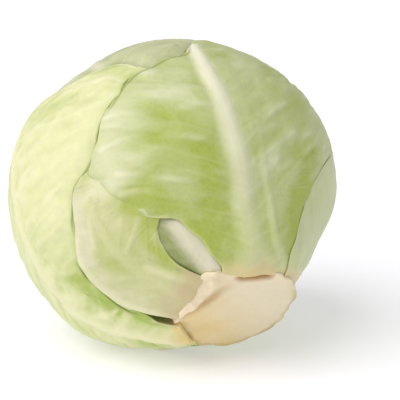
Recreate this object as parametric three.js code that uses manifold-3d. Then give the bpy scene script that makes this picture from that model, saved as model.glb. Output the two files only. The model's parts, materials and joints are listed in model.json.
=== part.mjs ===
// A trimmed white cabbage lying on its side, in millimetres, +Z up.
//
// The head is an oblate ball of overlapping leaves with a broad cut stalk. It rests on a small
// flat spot under its middle, and the stalk points forwards (-Y), to the right (+X) and down.
// Every leaf is a shell draped over the leaves beneath it: it fills the space between two
// star-shaped surfaces about the head's centre, inside its own outline. The surfaces are worked
// out from the outside in, so a leaf always clears its neighbours by LEAF_GAP.
//
// The origin is the middle of the bounding box's base, at the height the flat spot rests on.
import * as THREE from 'three';
import { mergeVertices } from 'three/addons/utils/BufferGeometryUtils.js';
import Module from 'manifold-3d';

const wasm = await Module();
wasm.setup();

// ---- the head -----------------------------------------------------------------------------
const HEAD_RADIUS = 82;            // across the stalk axis
const HEAD_HALF_LENGTH = 72.7;     // along the stalk axis, without the shoulder by the stalk
const HEAD_HEIGHT = 76.3;          // from the surface it rests on up to the head's centre
const STALK_DROP = 35.4;           // degrees the stalk points below level
const STALK_YAW = 30.3;            // degrees the stalk points to the right of straight ahead
const SHOULDER_HEIGHT = 4;         // how far the leaf bases swell out beside the stalk
const SHOULDER_START = 52;         // degrees from the stalk axis where the swelling begins
const SHOULDER_FULL = 22;          // degrees from the stalk axis where it is full

// Gentle bulges and hollows of the head: angle from the stalk axis and turn about it, how wide
// they spread, all in degrees, and their height in mm.
const SWELLINGS = [
  { angle: 112, turn: -30, spread: 32, height: -1.4 },
  { angle: 76, turn: -60, spread: 22, height: 1.8 },
  { angle: 136, turn: 45, spread: 15, height: -2.4 },
  { angle: 124, turn: 80, spread: 20, height: 1.8 },
  { angle: 94, turn: 114, spread: 26, height: -1.6 },
  { angle: 63, turn: 139, spread: 15, height: 2 },
  { angle: 39, turn: -92, spread: 15, height: -3 },
  { angle: 24, turn: -18, spread: 17, height: 7 },
  { angle: 28, turn: 176, spread: 14, height: -1.5 },
];

// ---- the stalk ----------------------------------------------------------------------------
const CUT_DISTANCE = 75;           // head's centre to the middle of the cut face
const CUT_TILT = 9.4;              // degrees the knife leaned from square to the stalk
const CUT_TURN = 128;              // which way the cut face leans, in degrees about the axis
const STALK_RADIUS = 31;
const STALK_SHIFT = { left: -1.5, top: -2.5 }; // how far the cut's middle lies off the axis
const STALK_LENGTH = 90;           // from the head's centre, before the knife
const STALK_CLEARANCE = 0.4;
const STALK_SIDES = 48;

// The stalk narrows from the cut into the core, just past the head's centre: radius as a part of
// STALK_RADIUS, and distance from the head's centre.
const STALK_SIDE = [[0, -18], [0.2, -11], [0.34, 15], [0.56, 37.5], [0.85, 55.5], [1, 64]];

// Between two turns about the axis the cut runs out into torn leaf bases. It starts to widen
// at the first turn, is full between the second and third, and is round again at the fourth.
const TORN_TURNS = [-45, -5, 80, 112];
const TORN_REACH = 1.8;            // how much farther it runs out there
const TORN_FROM = 69;              // distance from the head's centre where it is full

// Tabs of torn leaf base, and dents where reach is below zero: the turn of its middle and how
// wide it spreads, in degrees, and how much farther the rim runs out, in mm.
const TABS = [
  { turn: 4, spread: 15, reach: 1.2 },
  { turn: 40, spread: 15, reach: 6.5 },
  { turn: 132, spread: 25, reach: -4.3 },
  { turn: -85, spread: 22, reach: -3.4 },
];

// ---- the leaves ---------------------------------------------------------------------------
const BLADE_THICKNESS = 1.3;
const LEAF_GAP = 0.5;
const MARGIN_CLEARANCE = 11;       // a facet's width kept clear beside a margin
const DRAPE_WIDTH = 16;            // width over which a leaf then rises beside one above
const RIB_THICKNESS = 4;           // extra thickness of the midrib where it joins the stalk
const RIB_TIP_THICKNESS = 0.6;
const RIB_HALF_WIDTH = 15;         // where it joins the stalk
const RIB_TIP_HALF_WIDTH = 4;
const LEAF_REACH = 160;            // length of the wedge that cuts a leaf to its outline
const GRID_DETAIL = 7;             // facets along one edge of the grid of directions, less one
const OUTLINE_STEPS = 2;           // corners on the curve through an outline, for each given one

// ---- colours and finish -------------------------------------------------------------------
const STALK_COLOUR = '#dccba6';
const HEART_COLOUR = '#e8e6bc';
const STALK_ROUGHNESS = 0.7;
const LEAF_ROUGHNESS = 0.45;

// Leaves from the outermost to the innermost. Each is placed by the direction of its middle:
// its angle from the stalk axis and its turn about it, anticlockwise seen from the stalk with
// 0 at the top. The outline is laid flat about that middle, x across the leaf to the right and
// y towards its tip, both in mm measured over the head. ribAt is the midrib's x.
const LEAVES = [
  {
    name: 'right_wrapper_leaf', angle: 82, turn: -84, ribAt: -18, colour: '#bfc79c',
    outline: [
      [6, 68], [34, 70], [60, 56], [78, 26], [78, -6], [66, -36], [44, -62], [18, -82], [2, -94],
      [-20, -98], [-34, -93], [-44, -88], [-48, -80], [-52, -71], [-54, -61], [-55, -50],
      [-54, -40], [-50, -30], [-41, -16], [-33, 2], [-31, 22], [-20, 46],
    ],
  },
  {
    name: 'front_wrapper_leaf', angle: 66, turn: 8, ribAt: 0, colour: '#bfd087',
    outline: [
      [12, 65], [18, 72], [30, 78], [50, 74], [72, 54], [86, 24], [86, -4], [74, -26], [54, -44],
      [38, -58], [28, -68], [4, -72], [-14, -66], [-15, -57], [-18, -52], [-21, -46], [-24, -40],
      [-28, -35], [-31, -30], [-35, -27], [-41, -25], [-47, -22], [-49, -20], [-51, -16],
      [-54, -13], [-57, -9], [-60, -5], [-62, -1], [-65, 4], [-67.5, 9], [-65, 13], [-61.5, 18],
      [-57.5, 23], [-55, 28], [-51.5, 33], [-47.5, 37], [-42, 41], [-38, 43], [-34, 48],
      [-29, 51.5], [-21, 52.5], [-10, 55.5], [-3, 56], [2, 57], [7, 61],
    ],
  },
  {
    name: 'underside_wrapper_leaf', angle: 88, turn: -163, ribAt: 0, colour: '#c6cd9a',
    outline: [
      [0, 76], [34, 72], [60, 50], [70, 18], [57, -14], [40, -42], [24, -62], [10, -80], [0, -96],
      [-8, -100], [-18, -96], [-34, -72], [-54, -40], [-66, -6], [-62, 30], [-40, 60], [-18, 76],
    ],
  },
  {
    name: 'lower_left_wrapper_leaf', angle: 54, turn: 66, ribAt: -8, colour: '#cdd8a0',
    outline: [
      [15, 37], [8, 37], [2, 34], [-5, 28], [-12, 20], [-23, 10], [-27, 0], [-29, -12], [-29, -23],
      [-24, -32], [-19, -42], [-16, -48], [-10, -55], [15, -57], [16, -52], [15.6, -46],
      [14.5, -41], [13.6, -37], [12.8, -33], [12.4, -30], [12.2, -26], [13, -21], [15, -15],
      [17, -11], [20, -7], [25, -4], [44, 2], [52, 20], [46, 36], [34, 42], [24, 40],
    ],
  },
  {
    name: 'left_wrapper_leaf', angle: 86, turn: 94, ribAt: -14, colour: '#e6e6b4',
    outline: [
      [-11.1, -98], [-10.2, -92], [-9.6, -88], [-9, -84], [-8.2, -81], [-6.5, -78.5], [-4.6, -75.5],
      [-3.3, -72], [0, -66], [14, -52], [34, -40], [58, -32], [84, -18], [104, 0], [108, 18],
      [104, 28], [96, 37], [86, 48], [74, 51], [58, 55], [40, 66], [14, 78], [-16, 80], [-44, 70],
      [-68, 48], [-82, 18], [-86, -14], [-84, -48], [-76, -72], [-62, -92], [-44, -105],
      [-24, -108],
    ],
  },
  {
    name: 'back_right_wrapper_leaf', angle: 86, turn: -119, ribAt: 0, colour: '#c4cf94',
    outline: [
      [0, 84], [32, 76], [58, 54], [72, 20], [66, -16], [48, -48], [28, -74], [16, -92], [0, -97],
      [-16, -92], [-30, -68], [-54, -40], [-70, -6], [-68, 30], [-46, 62], [-20, 78],
    ],
  },
  {
    name: 'front_inner_leaf', angle: 104, turn: 36, ribAt: 2, colour: '#d3d7a6',
    outline: [
      [6, 112], [38, 104], [68, 82], [88, 48], [92, 8], [76, -32], [50, -64], [28, -90], [14, -118],
      [-10, -120], [-26, -90], [-50, -60], [-78, -24], [-92, 14], [-86, 52], [-64, 86], [-32, 108],
    ],
  },
  {
    name: 'right_inner_leaf', angle: 100, turn: -60, ribAt: 0, colour: '#d6dba8',
    outline: [
      [0, 100], [38, 94], [70, 72], [90, 36], [90, -6], [70, -44], [42, -76], [18, -106], [0, -114],
      [-18, -106], [-42, -74], [-72, -40], [-90, -2], [-86, 40], [-66, 74], [-36, 96],
    ],
  },
  {
    name: 'back_inner_leaf', angle: 102, turn: -153, ribAt: 0, colour: '#dadcae',
    outline: [
      [0, 96], [36, 92], [68, 72], [88, 38], [88, -4], [68, -44], [40, -78], [16, -108], [0, -116],
      [-16, -108], [-40, -76], [-70, -42], [-88, -2], [-84, 40], [-62, 74], [-34, 92],
    ],
  },
  {
    name: 'left_inner_leaf', angle: 100, turn: 126, ribAt: 0, colour: '#dedfb2',
    outline: [
      [0, 98], [36, 94], [68, 74], [88, 38], [90, -4], [70, -44], [40, -78], [16, -106], [0, -114],
      [-16, -106], [-42, -74], [-70, -42], [-88, -2], [-86, 38], [-64, 74], [-34, 94],
    ],
  },
];

// ---- directions about the head's centre ---------------------------------------------------
const rad = THREE.MathUtils.degToRad;
const smooth = THREE.MathUtils.smoothstep;
const UP = new THREE.Vector3(0, 0, 1);
const stalkAxis = new THREE.Vector3(
  Math.cos(rad(STALK_DROP)) * Math.sin(rad(STALK_YAW)),
  -Math.cos(rad(STALK_DROP)) * Math.cos(rad(STALK_YAW)),
  -Math.sin(rad(STALK_DROP)),
);
const topWay = UP.clone().addScaledVector(stalkAxis, -UP.dot(stalkAxis)).normalize();
const leftWay = new THREE.Vector3().crossVectors(stalkAxis, topWay);

// The direction at an angle from the stalk axis and a turn about it.
function direction(angle, turn) {
  const across = topWay.clone().multiplyScalar(Math.cos(rad(turn)));
  across.addScaledVector(leftWay, Math.sin(rad(turn)));
  return stalkAxis.clone().multiplyScalar(Math.cos(rad(angle)))
    .addScaledVector(across, Math.sin(rad(angle)));
}

// A leaf laid flat: distances and bearings over the head are kept from its middle outwards.
class LeafFrame {
  constructor(leaf) {
    this.middle = direction(leaf.angle, leaf.turn);
    this.tipWay = this.middle.clone().multiplyScalar(stalkAxis.dot(this.middle))
      .sub(stalkAxis).normalize();
    this.rightWay = new THREE.Vector3().crossVectors(this.tipWay, this.middle);
    this.ribAt = leaf.ribAt;
    const corners = leaf.outline.map(([x, y]) => new THREE.Vector3(x, y, 0));
    const curve = new THREE.CatmullRomCurve3(corners, true, 'centripetal');
    this.outline = curve.getPoints(corners.length * OUTLINE_STEPS).slice(0, -1);
    if (THREE.ShapeUtils.isClockWise(this.outline)) this.outline.reverse();
    this.rim = this.outline
      .map((p) => ({ bearing: Math.atan2(p.y, p.x), reach: Math.hypot(p.x, p.y) }))
      .sort((a, b) => a.bearing - b.bearing);
  }

  // Flat place of a direction.
  flatten(way) {
    const angle = Math.acos(THREE.MathUtils.clamp(way.dot(this.middle), -1, 1));
    const x = way.dot(this.rightWay);
    const y = way.dot(this.tipWay);
    const scale = (angle * HEAD_RADIUS) / Math.max(Math.hypot(x, y), Number.EPSILON);
    return new THREE.Vector2(x * scale, y * scale);
  }

  // Direction of a flat place.
  drape(x, y) {
    const reach = Math.hypot(x, y);
    const angle = reach / HEAD_RADIUS;
    return this.middle.clone().multiplyScalar(Math.cos(angle))
      .addScaledVector(this.rightWay, (Math.sin(angle) * x) / reach)
      .addScaledVector(this.tipWay, (Math.sin(angle) * y) / reach);
  }

  // Distance from the leaf's middle to its margin at a bearing.
  marginReach(bearing) {
    const next = this.rim.findIndex((r) => r.bearing > bearing);
    const b = this.rim[Math.max(next, 0)];
    const a = this.rim.at(next > 0 ? next - 1 : -1);
    const turn = 2 * Math.PI;
    const span = (b.bearing - a.bearing + turn) % turn;
    const part = ((bearing - a.bearing + turn) % turn) / span;
    return THREE.MathUtils.lerp(a.reach, b.reach, part);
  }

  // 1 on the leaf and just past its margin, falling to 0 over a drape's width.
  cover(way) {
    const p = this.flatten(way);
    const clear = this.marginReach(Math.atan2(p.y, p.x)) + MARGIN_CLEARANCE;
    return 1 - smooth(p.length(), clear, clear + DRAPE_WIDTH);
  }

  // Blade, and the midrib that thins from the stalk to the tip.
  thickness(way) {
    const p = this.flatten(way);
    const along = smooth(p.y, -HEAD_RADIUS, HEAD_RADIUS);
    const rib = THREE.MathUtils.lerp(RIB_THICKNESS, RIB_TIP_THICKNESS, along);
    const half = THREE.MathUtils.lerp(RIB_HALF_WIDTH, RIB_TIP_HALF_WIDTH, along);
    return BLADE_THICKNESS + rib * (1 - smooth(Math.abs(p.x - this.ribAt), 0, half));
  }
}

// ---- surfaces -----------------------------------------------------------------------------
// Radius of the head's surface sunk by a depth, flattened where it rests.
function headSurface(way, depth) {
  const along = way.dot(stalkAxis);
  const across = Math.sqrt(Math.max(1 - along * along, 0));
  const round = 1 / Math.hypot(across / HEAD_RADIUS, along / HEAD_HALF_LENGTH);
  const angle = THREE.MathUtils.radToDeg(Math.acos(THREE.MathUtils.clamp(along, -1, 1)));
  const shoulder = SHOULDER_HEIGHT * (1 - smooth(angle, SHOULDER_FULL, SHOULDER_START));
  const swelling = SWELLINGS.reduce((sum, s) => {
    const away = THREE.MathUtils.radToDeg(way.angleTo(direction(s.angle, s.turn))) / s.spread;
    return sum + s.height * Math.exp(-away * away);
  }, 0);
  const ball = round + shoulder + swelling - depth;
  return way.z < 0 ? Math.min(ball, (HEAD_HEIGHT - depth) / -way.z) : ball;
}

const gridGeometry = new THREE.IcosahedronGeometry(1, GRID_DETAIL);
gridGeometry.deleteAttribute('normal');
gridGeometry.deleteAttribute('uv');
const directionGrid = mergeVertices(gridGeometry);

function solidFrom(geometry) {
  geometry.deleteAttribute('normal');
  geometry.deleteAttribute('uv');
  const merged = mergeVertices(geometry);
  return new wasm.Manifold(new wasm.Mesh({
    numProp: 3,
    vertProperties: merged.getAttribute('position').array,
    triVerts: new Uint32Array(merged.getIndex().array),
  }));
}

// The solid whose surface lies at radius(way, index) along each direction of the grid.
function starSolid(radius) {
  const geometry = directionGrid.clone();
  const places = geometry.getAttribute('position');
  const way = new THREE.Vector3();
  for (let i = 0; i < places.count; i += 1) {
    way.fromBufferAttribute(places, i).normalize();
    way.multiplyScalar(radius(way, i));
    places.setXYZ(i, way.x, way.y, way.z);
  }
  return solidFrom(geometry);
}

// The wedge from the head's centre through a leaf's outline.
function outlineWedge(frame) {
  const count = frame.outline.length;
  const corners = frame.outline.map((p) => frame.drape(p.x, p.y).multiplyScalar(LEAF_REACH));
  corners.push(new THREE.Vector3(), frame.middle.clone().multiplyScalar(LEAF_REACH));
  const faces = [];
  for (let i = 0; i < count; i += 1) {
    const next = (i + 1) % count;
    faces.push(next, i, count, i, next, count + 1);
  }
  const geometry = new THREE.BufferGeometry().setFromPoints(corners);
  geometry.setIndex(faces);
  return solidFrom(geometry);
}

// ---- the stalk: a broad cut disc that narrows into the core --------------------------------
// How far the cut runs out beyond its round part at a turn about the axis.
function tornReach(turn) {
  const [start, full, ending, end] = TORN_TURNS;
  const torn = TORN_REACH * smooth(turn, start, full) * (1 - smooth(turn, ending, end));
  return TABS.reduce((sum, tab) => {
    const away = THREE.MathUtils.euclideanModulo(turn - tab.turn + 180, 360) - 180;
    return sum + tab.reach * Math.exp(-((away / tab.spread) ** 2));
  }, torn);
}

// The stalk as it stood before the knife, grown by a clearance on every side.
function uncutStalk(clearance, length) {
  const side = STALK_SIDE.map(([part, along]) => (
    new THREE.Vector2(part * STALK_RADIUS + Math.sign(part) * clearance, along)
  ));
  side[0].y -= clearance;
  const rim = STALK_RADIUS + clearance;
  const ends = [[rim, TORN_FROM], [rim, length], [0, length]].map((p) => new THREE.Vector2(...p));
  const geometry = new THREE.LatheGeometry([...side, ...ends], STALK_SIDES);
  const places = geometry.getAttribute('position');
  const place = new THREE.Vector3();
  for (let i = 0; i < places.count; i += 1) {
    place.fromBufferAttribute(places, i);
    const { x: left, y: along, z: top } = place;
    const turn = THREE.MathUtils.radToDeg(Math.atan2(left, top));
    const grow = along < TORN_FROM ? 1 : 1 + tornReach(turn) / rim;
    place.copy(stalkAxis).multiplyScalar(along)
      .addScaledVector(leftWay, left * grow + STALK_SHIFT.left)
      .addScaledVector(topWay, top * grow + STALK_SHIFT.top);
    places.setXYZ(i, place.x, place.y, place.z);
  }
  return solidFrom(geometry);
}

// Everything beyond the cut face.
function beyondCut() {
  const size = LEAF_REACH * 2;
  const normal = direction(CUT_TILT, CUT_TURN);
  const geometry = new THREE.BoxGeometry(size, size, size);
  geometry.applyQuaternion(new THREE.Quaternion().setFromUnitVectors(UP, normal));
  const middle = stalkAxis.clone().multiplyScalar(CUT_DISTANCE).addScaledVector(normal, size / 2);
  geometry.translate(middle.x, middle.y, middle.z);
  return solidFrom(geometry);
}

// ---- assembly -----------------------------------------------------------------------------
const head = new THREE.Group();
head.position.z = HEAD_HEIGHT;

function addPiece(name, solid, colour, roughness) {
  const mesh = solid.getMesh();
  const geometry = new THREE.BufferGeometry();
  geometry.setAttribute('position', new THREE.Float32BufferAttribute(mesh.vertProperties, 3));
  geometry.setIndex(new THREE.Uint32BufferAttribute(mesh.triVerts, 1));
  geometry.computeVertexNormals();
  const material = new THREE.MeshStandardMaterial({ color: colour, roughness, metalness: 0 });
  const piece = new THREE.Mesh(geometry, material);
  piece.name = name;
  head.add(piece);
}

const stalk = uncutStalk(0, STALK_LENGTH).subtract(beyondCut());
addPiece('stalk', stalk, STALK_COLOUR, STALK_ROUGHNESS);

// The room the stalk needs, carried on past the cut face so that no leaf lies over it.
const room = uncutStalk(STALK_CLEARANCE, LEAF_REACH);

// depths[i] is how far the next surface inwards lies below the head's surface on direction i.
const depths = new Float64Array(directionGrid.getAttribute('position').count);
for (const leaf of LEAVES) {
  const frame = new LeafFrame(leaf);
  const outer = starSolid((way, i) => headSurface(way, depths[i]));
  const inner = starSolid((way, i) => headSurface(way, depths[i] + frame.thickness(way)));
  const solid = outer.intersect(outlineWedge(frame)).subtract(inner).subtract(room);
  addPiece(leaf.name, solid, leaf.colour, LEAF_ROUGHNESS);
  const places = directionGrid.getAttribute('position');
  const way = new THREE.Vector3();
  for (let i = 0; i < depths.length; i += 1) {
    way.fromBufferAttribute(places, i).normalize();
    depths[i] += frame.cover(way) * (frame.thickness(way) + LEAF_GAP);
  }
}

const heart = starSolid((way, i) => headSurface(way, depths[i])).subtract(room);
addPiece('heart', heart, HEART_COLOUR, LEAF_ROUGHNESS);

// The origin goes under the middle of the whole head's box.
const middle = new THREE.Box3().setFromObject(head).getCenter(new THREE.Vector3());
head.position.x -= middle.x;
head.position.y -= middle.y;

const cabbage = new THREE.Group();
cabbage.name = 'white_cabbage';
cabbage.add(head);

export default cabbage;
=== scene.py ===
"""A trimmed white cabbage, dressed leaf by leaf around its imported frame.

The head is an oblate ball of overlapping leaves with a broad cut stalk. Every leaf is a thin
closed shell draped over the leaves beneath it. Its place on the head is worked out on a flat
map of the leaf: x runs across it to the right, y towards its tip, both in mm over the head.
Shapes are worked out in mm about the head's centre and turned to metres at the end.
"""

import json
import logging
import math
from dataclasses import dataclass, field
from enum import Enum
from functools import cached_property
from typing import Any, Iterable, Optional, Sequence

import bmesh
import bpy
import numpy as np
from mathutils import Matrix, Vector


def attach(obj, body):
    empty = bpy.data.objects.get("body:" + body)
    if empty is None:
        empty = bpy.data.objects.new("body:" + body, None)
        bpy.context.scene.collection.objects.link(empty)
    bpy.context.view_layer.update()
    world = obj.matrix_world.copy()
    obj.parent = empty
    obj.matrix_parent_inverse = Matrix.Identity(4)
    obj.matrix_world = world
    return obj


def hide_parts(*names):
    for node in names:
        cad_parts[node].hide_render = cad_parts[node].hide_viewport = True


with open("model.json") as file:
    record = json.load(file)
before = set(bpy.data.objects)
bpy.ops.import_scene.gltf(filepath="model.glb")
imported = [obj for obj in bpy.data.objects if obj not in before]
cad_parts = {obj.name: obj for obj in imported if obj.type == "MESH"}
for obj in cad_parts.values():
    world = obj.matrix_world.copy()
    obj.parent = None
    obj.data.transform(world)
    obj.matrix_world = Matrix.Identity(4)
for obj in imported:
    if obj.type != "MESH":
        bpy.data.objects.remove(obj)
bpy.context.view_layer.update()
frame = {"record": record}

log = logging.getLogger("cabbage")

MM = 0.001
BODY = "root"
UV_NAME = "laid_flat"

Place = tuple[float, float]
Ends = tuple[float, float]


# ---- small helpers ----
def smooth_step(value: np.ndarray, low: float, high: float) -> np.ndarray:
    """Rises smoothly from 0 at low to 1 at high.

    Args:
        value: The values to judge.
        low: Where the rise begins.
        high: Where it ends.

    Returns:
        One number from 0 to 1 for each value.
    """
    part = np.clip((value - low) / (high - low), 0.0, 1.0)
    return part * part * (3.0 - 2.0 * part)


def linear_colour(code: str) -> tuple[float, float, float, float]:
    """Turns an sRGB hex colour into the linear colour that shaders use.

    Args:
        code: A colour such as "#d9e2b0".

    Returns:
        Linear red, green and blue, and an alpha of 1.
    """
    parts = [int(code[i:i + 2], 16) / 255.0 for i in (1, 3, 5)]
    red, green, blue = (
        c / 12.92 if c <= 0.04045 else ((c + 0.055) / 1.055) ** 2.4 for c in parts
    )
    return red, green, blue, 1.0


def blend(ends: Ends, part: np.ndarray) -> np.ndarray:
    """Runs evenly from a first number to a second while part goes from 0 to 1."""
    return ends[0] + (ends[1] - ends[0]) * part


def fade(away: np.ndarray, spread: float) -> np.ndarray:
    """Falls softly from 1 in the middle towards 0 past a spread."""
    return np.exp(-((away / spread) ** 2))


def curve_through(points: Sequence[Place], closed: bool, steps: int = 14) -> np.ndarray:
    """Draws a centripetal curve through a few places.

    Args:
        points: The places it passes through, in mm.
        closed: Whether it comes back to its start.
        steps: How many short pieces lie between two places.

    Returns:
        Places along the curve, one a row.
    """
    knots = np.array(points, float)
    if closed:
        knots = np.vstack([knots[-1], knots, knots[0], knots[1]])
    else:
        knots = np.vstack([2 * knots[0] - knots[1], knots, 2 * knots[-1] - knots[-2]])
    part = np.linspace(0.0, 1.0, steps, endpoint=False)[:, None]
    made = []
    for a, b, c, d in zip(knots, knots[1:], knots[2:], knots[3:]):
        t0 = math.sqrt(np.linalg.norm(b - a))
        t1 = math.sqrt(np.linalg.norm(c - b))
        t2 = math.sqrt(np.linalg.norm(d - c))
        start = ((b - a) / t0 - (c - a) / (t0 + t1) + (c - b) / t1) * t1
        end = ((c - b) / t1 - (d - b) / (t1 + t2) + (d - c) / t2) * t1
        made.append(
            b + start * part
            + (-3 * b + 3 * c - 2 * start - end) * part ** 2
            + (2 * b - 2 * c + start + end) * part ** 3
        )
    if not closed:
        made.append(knots[-2][None])
    return np.vstack(made)


def distance_along(path: np.ndarray) -> np.ndarray:
    """Distance along a path of flat places from its start to each of them."""
    return np.concatenate([[0.0], np.cumsum(np.linalg.norm(np.diff(path, axis=0), axis=1))])


def evenly_spaced(path: np.ndarray, pitch: float = 0.7) -> np.ndarray:
    """Spaces places evenly along a path.

    Args:
        path: Places along it, one a row.
        pitch: The widest distance to leave between two, in mm.

    Returns:
        Places along the same path, one a row.
    """
    gone = distance_along(path)
    marks = np.linspace(0.0, gone[-1], int(gone[-1] / pitch) + 2)
    return np.stack([np.interp(marks, gone, path[:, i]) for i in (0, 1)], axis=1)


def read_grid(
    grid: np.ndarray, columns: Sequence[np.ndarray], rows: Sequence[np.ndarray],
    part: np.ndarray,
) -> np.ndarray:
    """Blends the four corners of a grid around each of many places.

    Args:
        grid: The grid of values, row by row.
        columns: The columns left and right of each place.
        rows: The rows below and above each place.
        part: How far each place lies between them, from 0 to 1, across and up.

    Returns:
        One value for each place.
    """
    across, up = part.T
    low, high = (
        grid[row, columns[0]] * (1 - across) + grid[row, columns[1]] * across for row in rows
    )
    return low * (1 - up) + high * up


@dataclass(frozen=True)
class Layer:
    """One of several noises that are added up.

    Attributes:
        weight: How much of it is added.
        cell: Size of one bump, in mm.
        shift: Where in the noise it is read, so that no two layers agree.
    """

    weight: float
    cell: float
    shift: float = 0.0


class SoftNoise:
    """Smooth seeded unevenness over flat places, between about -1 and 1.

    A fixed shift added to the places gives an unevenness that doesn't follow the first.
    """

    SIZE = 64

    def __init__(self, seed: int) -> None:
        """Draws the lattice of random heights."""
        self.heights = np.random.default_rng(seed).uniform(-1, 1, (self.SIZE, self.SIZE))

    def at(self, places: np.ndarray, cell: float, stretch: float = 1.0) -> np.ndarray:
        """Reads the unevenness at flat places.

        Args:
            places: Flat places in mm, one a row.
            cell: Size of one bump, in mm.
            stretch: How much longer a bump is along y than across.

        Returns:
            One height for each place.
        """
        spot = places / np.array([cell, cell * stretch])
        whole = np.floor(spot).astype(int)
        part = spot - whole
        part = part * part * (3.0 - 2.0 * part)
        x0, y0 = (whole % self.SIZE).T
        x1, y1 = (x0 + 1) % self.SIZE, (y0 + 1) % self.SIZE
        return read_grid(self.heights, (x0, x1), (y0, y1), part)

    def layered(self, places: np.ndarray, *layers: Layer, scale: float = 1.0) -> np.ndarray:
        """Adds up several noises at flat places.

        Args:
            places: Flat places in mm, one a row.
            layers: The noises.
            scale: How much larger their bumps are than the layers say.

        Returns:
            One height for each place.
        """
        return sum(
            layer.weight * self.at(places + layer.shift, layer.cell * scale) for layer in layers
        )


class Tracing:
    """A flat sheet on which ridges are traced, keeping the highest of those that cross."""

    PITCH = 0.5
    HALF = 130.0

    def __init__(self) -> None:
        """Starts with an empty sheet."""
        count = int(2 * self.HALF / self.PITCH) + 1
        self.marks = np.zeros((count, count))
        self.axis = np.linspace(-self.HALF, self.HALF, count)

    def stroke(self, path: np.ndarray, half_width: np.ndarray, height: np.ndarray) -> None:
        """Traces one ridge with soft sides.

        Args:
            path: Places along it, no further apart than its half width.
            half_width: Half its width at each place, in mm.
            height: Its height at each place.
        """
        last = len(self.axis)
        for (x, y), wide, high in zip(path, half_width, height):
            left = max(int((x - wide + self.HALF) / self.PITCH), 0)
            right = min(int((x + wide + self.HALF) / self.PITCH) + 2, last)
            low = max(int((y - wide + self.HALF) / self.PITCH), 0)
            top = min(int((y + wide + self.HALF) / self.PITCH) + 2, last)
            if left >= right or low >= top:
                continue
            away = (
                (self.axis[None, left:right] - x) ** 2 + (self.axis[low:top, None] - y) ** 2
            ) / (wide * wide)
            bump = high * np.clip(1.0 - away, 0.0, 1.0) ** 2
            window = self.marks[low:top, left:right]
            np.maximum(window, bump, out=window)

    def at(self, places: np.ndarray) -> np.ndarray:
        """Reads what is traced at flat places.

        Args:
            places: Flat places in mm, one a row.

        Returns:
            The height at each place.
        """
        spot = np.clip((places + self.HALF) / self.PITCH, 0, len(self.axis) - 1.001)
        whole = spot.astype(int)
        x, y = whole.T
        return read_grid(self.marks, (x, x + 1), (y, y + 1), spot - whole)


def mesh_from(bm: bmesh.types.BMesh, name: str) -> bpy.types.Mesh:
    """Turns a finished bmesh into a mesh.

    Args:
        bm: The bmesh, which is freed.
        name: The mesh's name.

    Returns:
        The mesh.
    """
    mesh = bpy.data.meshes.new(name)
    bm.to_mesh(mesh)
    bm.free()
    return mesh


def read_corners(mesh: bpy.types.Mesh) -> np.ndarray:
    """Reads where a mesh's vertices are.

    Args:
        mesh: The mesh.

    Returns:
        Their places, one a row.
    """
    flat = np.empty(len(mesh.vertices) * 3)
    mesh.vertices.foreach_get("co", flat)
    return flat.reshape(-1, 3)


def add_object(name: str, data: bpy.types.ID) -> bpy.types.Object:
    """Puts a mesh, a lamp or a camera into the scene.

    Args:
        name: The object's name.
        data: What it holds.

    Returns:
        The object.
    """
    made = bpy.data.objects.new(name, data)
    bpy.context.scene.collection.objects.link(made)
    return made


# ---- the head's shape ----
@dataclass(frozen=True)
class Swelling:
    """A gentle bulge, or a hollow where its height is below zero.

    Attributes:
        angle: Degrees from the stalk's axis.
        turn: Degrees about the axis, 0 at the top, rising anticlockwise seen from the stalk.
        spread: Degrees over which it fades.
        height: Height in mm.
    """

    angle: float
    turn: float
    spread: float
    height: float


@dataclass(frozen=True)
class Hollow:
    """Empty room under a leaf, which the leaves beneath leave open.

    Attributes:
        under: Name of the innermost leaf that isn't pushed in by it.
        angle: Degrees from the stalk's axis.
        turn: Degrees about the axis.
        spread: Degrees over which it fades.
        depth: Depth in mm.
        shade: How strongly painted shade darkens the leaves inside it towards olive, from 0 to 1.
    """

    under: str
    angle: float
    turn: float
    spread: float
    depth: float
    shade: float = 0.0


@dataclass(frozen=True)
class Tab:
    """A place where the stalk's rim runs out farther, or less far where its reach is below zero.

    Attributes:
        turn: Degrees of its middle about the axis.
        spread: Degrees over which it fades.
        reach: How much farther the rim runs out, in mm.
    """

    turn: float
    spread: float
    reach: float

    def at(self, turn: np.ndarray) -> np.ndarray:
        """How far it runs out, in mm, by degrees of turn."""
        away = (turn - self.turn + 180.0) % 360.0 - 180.0
        return self.reach * fade(away, self.spread)


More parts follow.
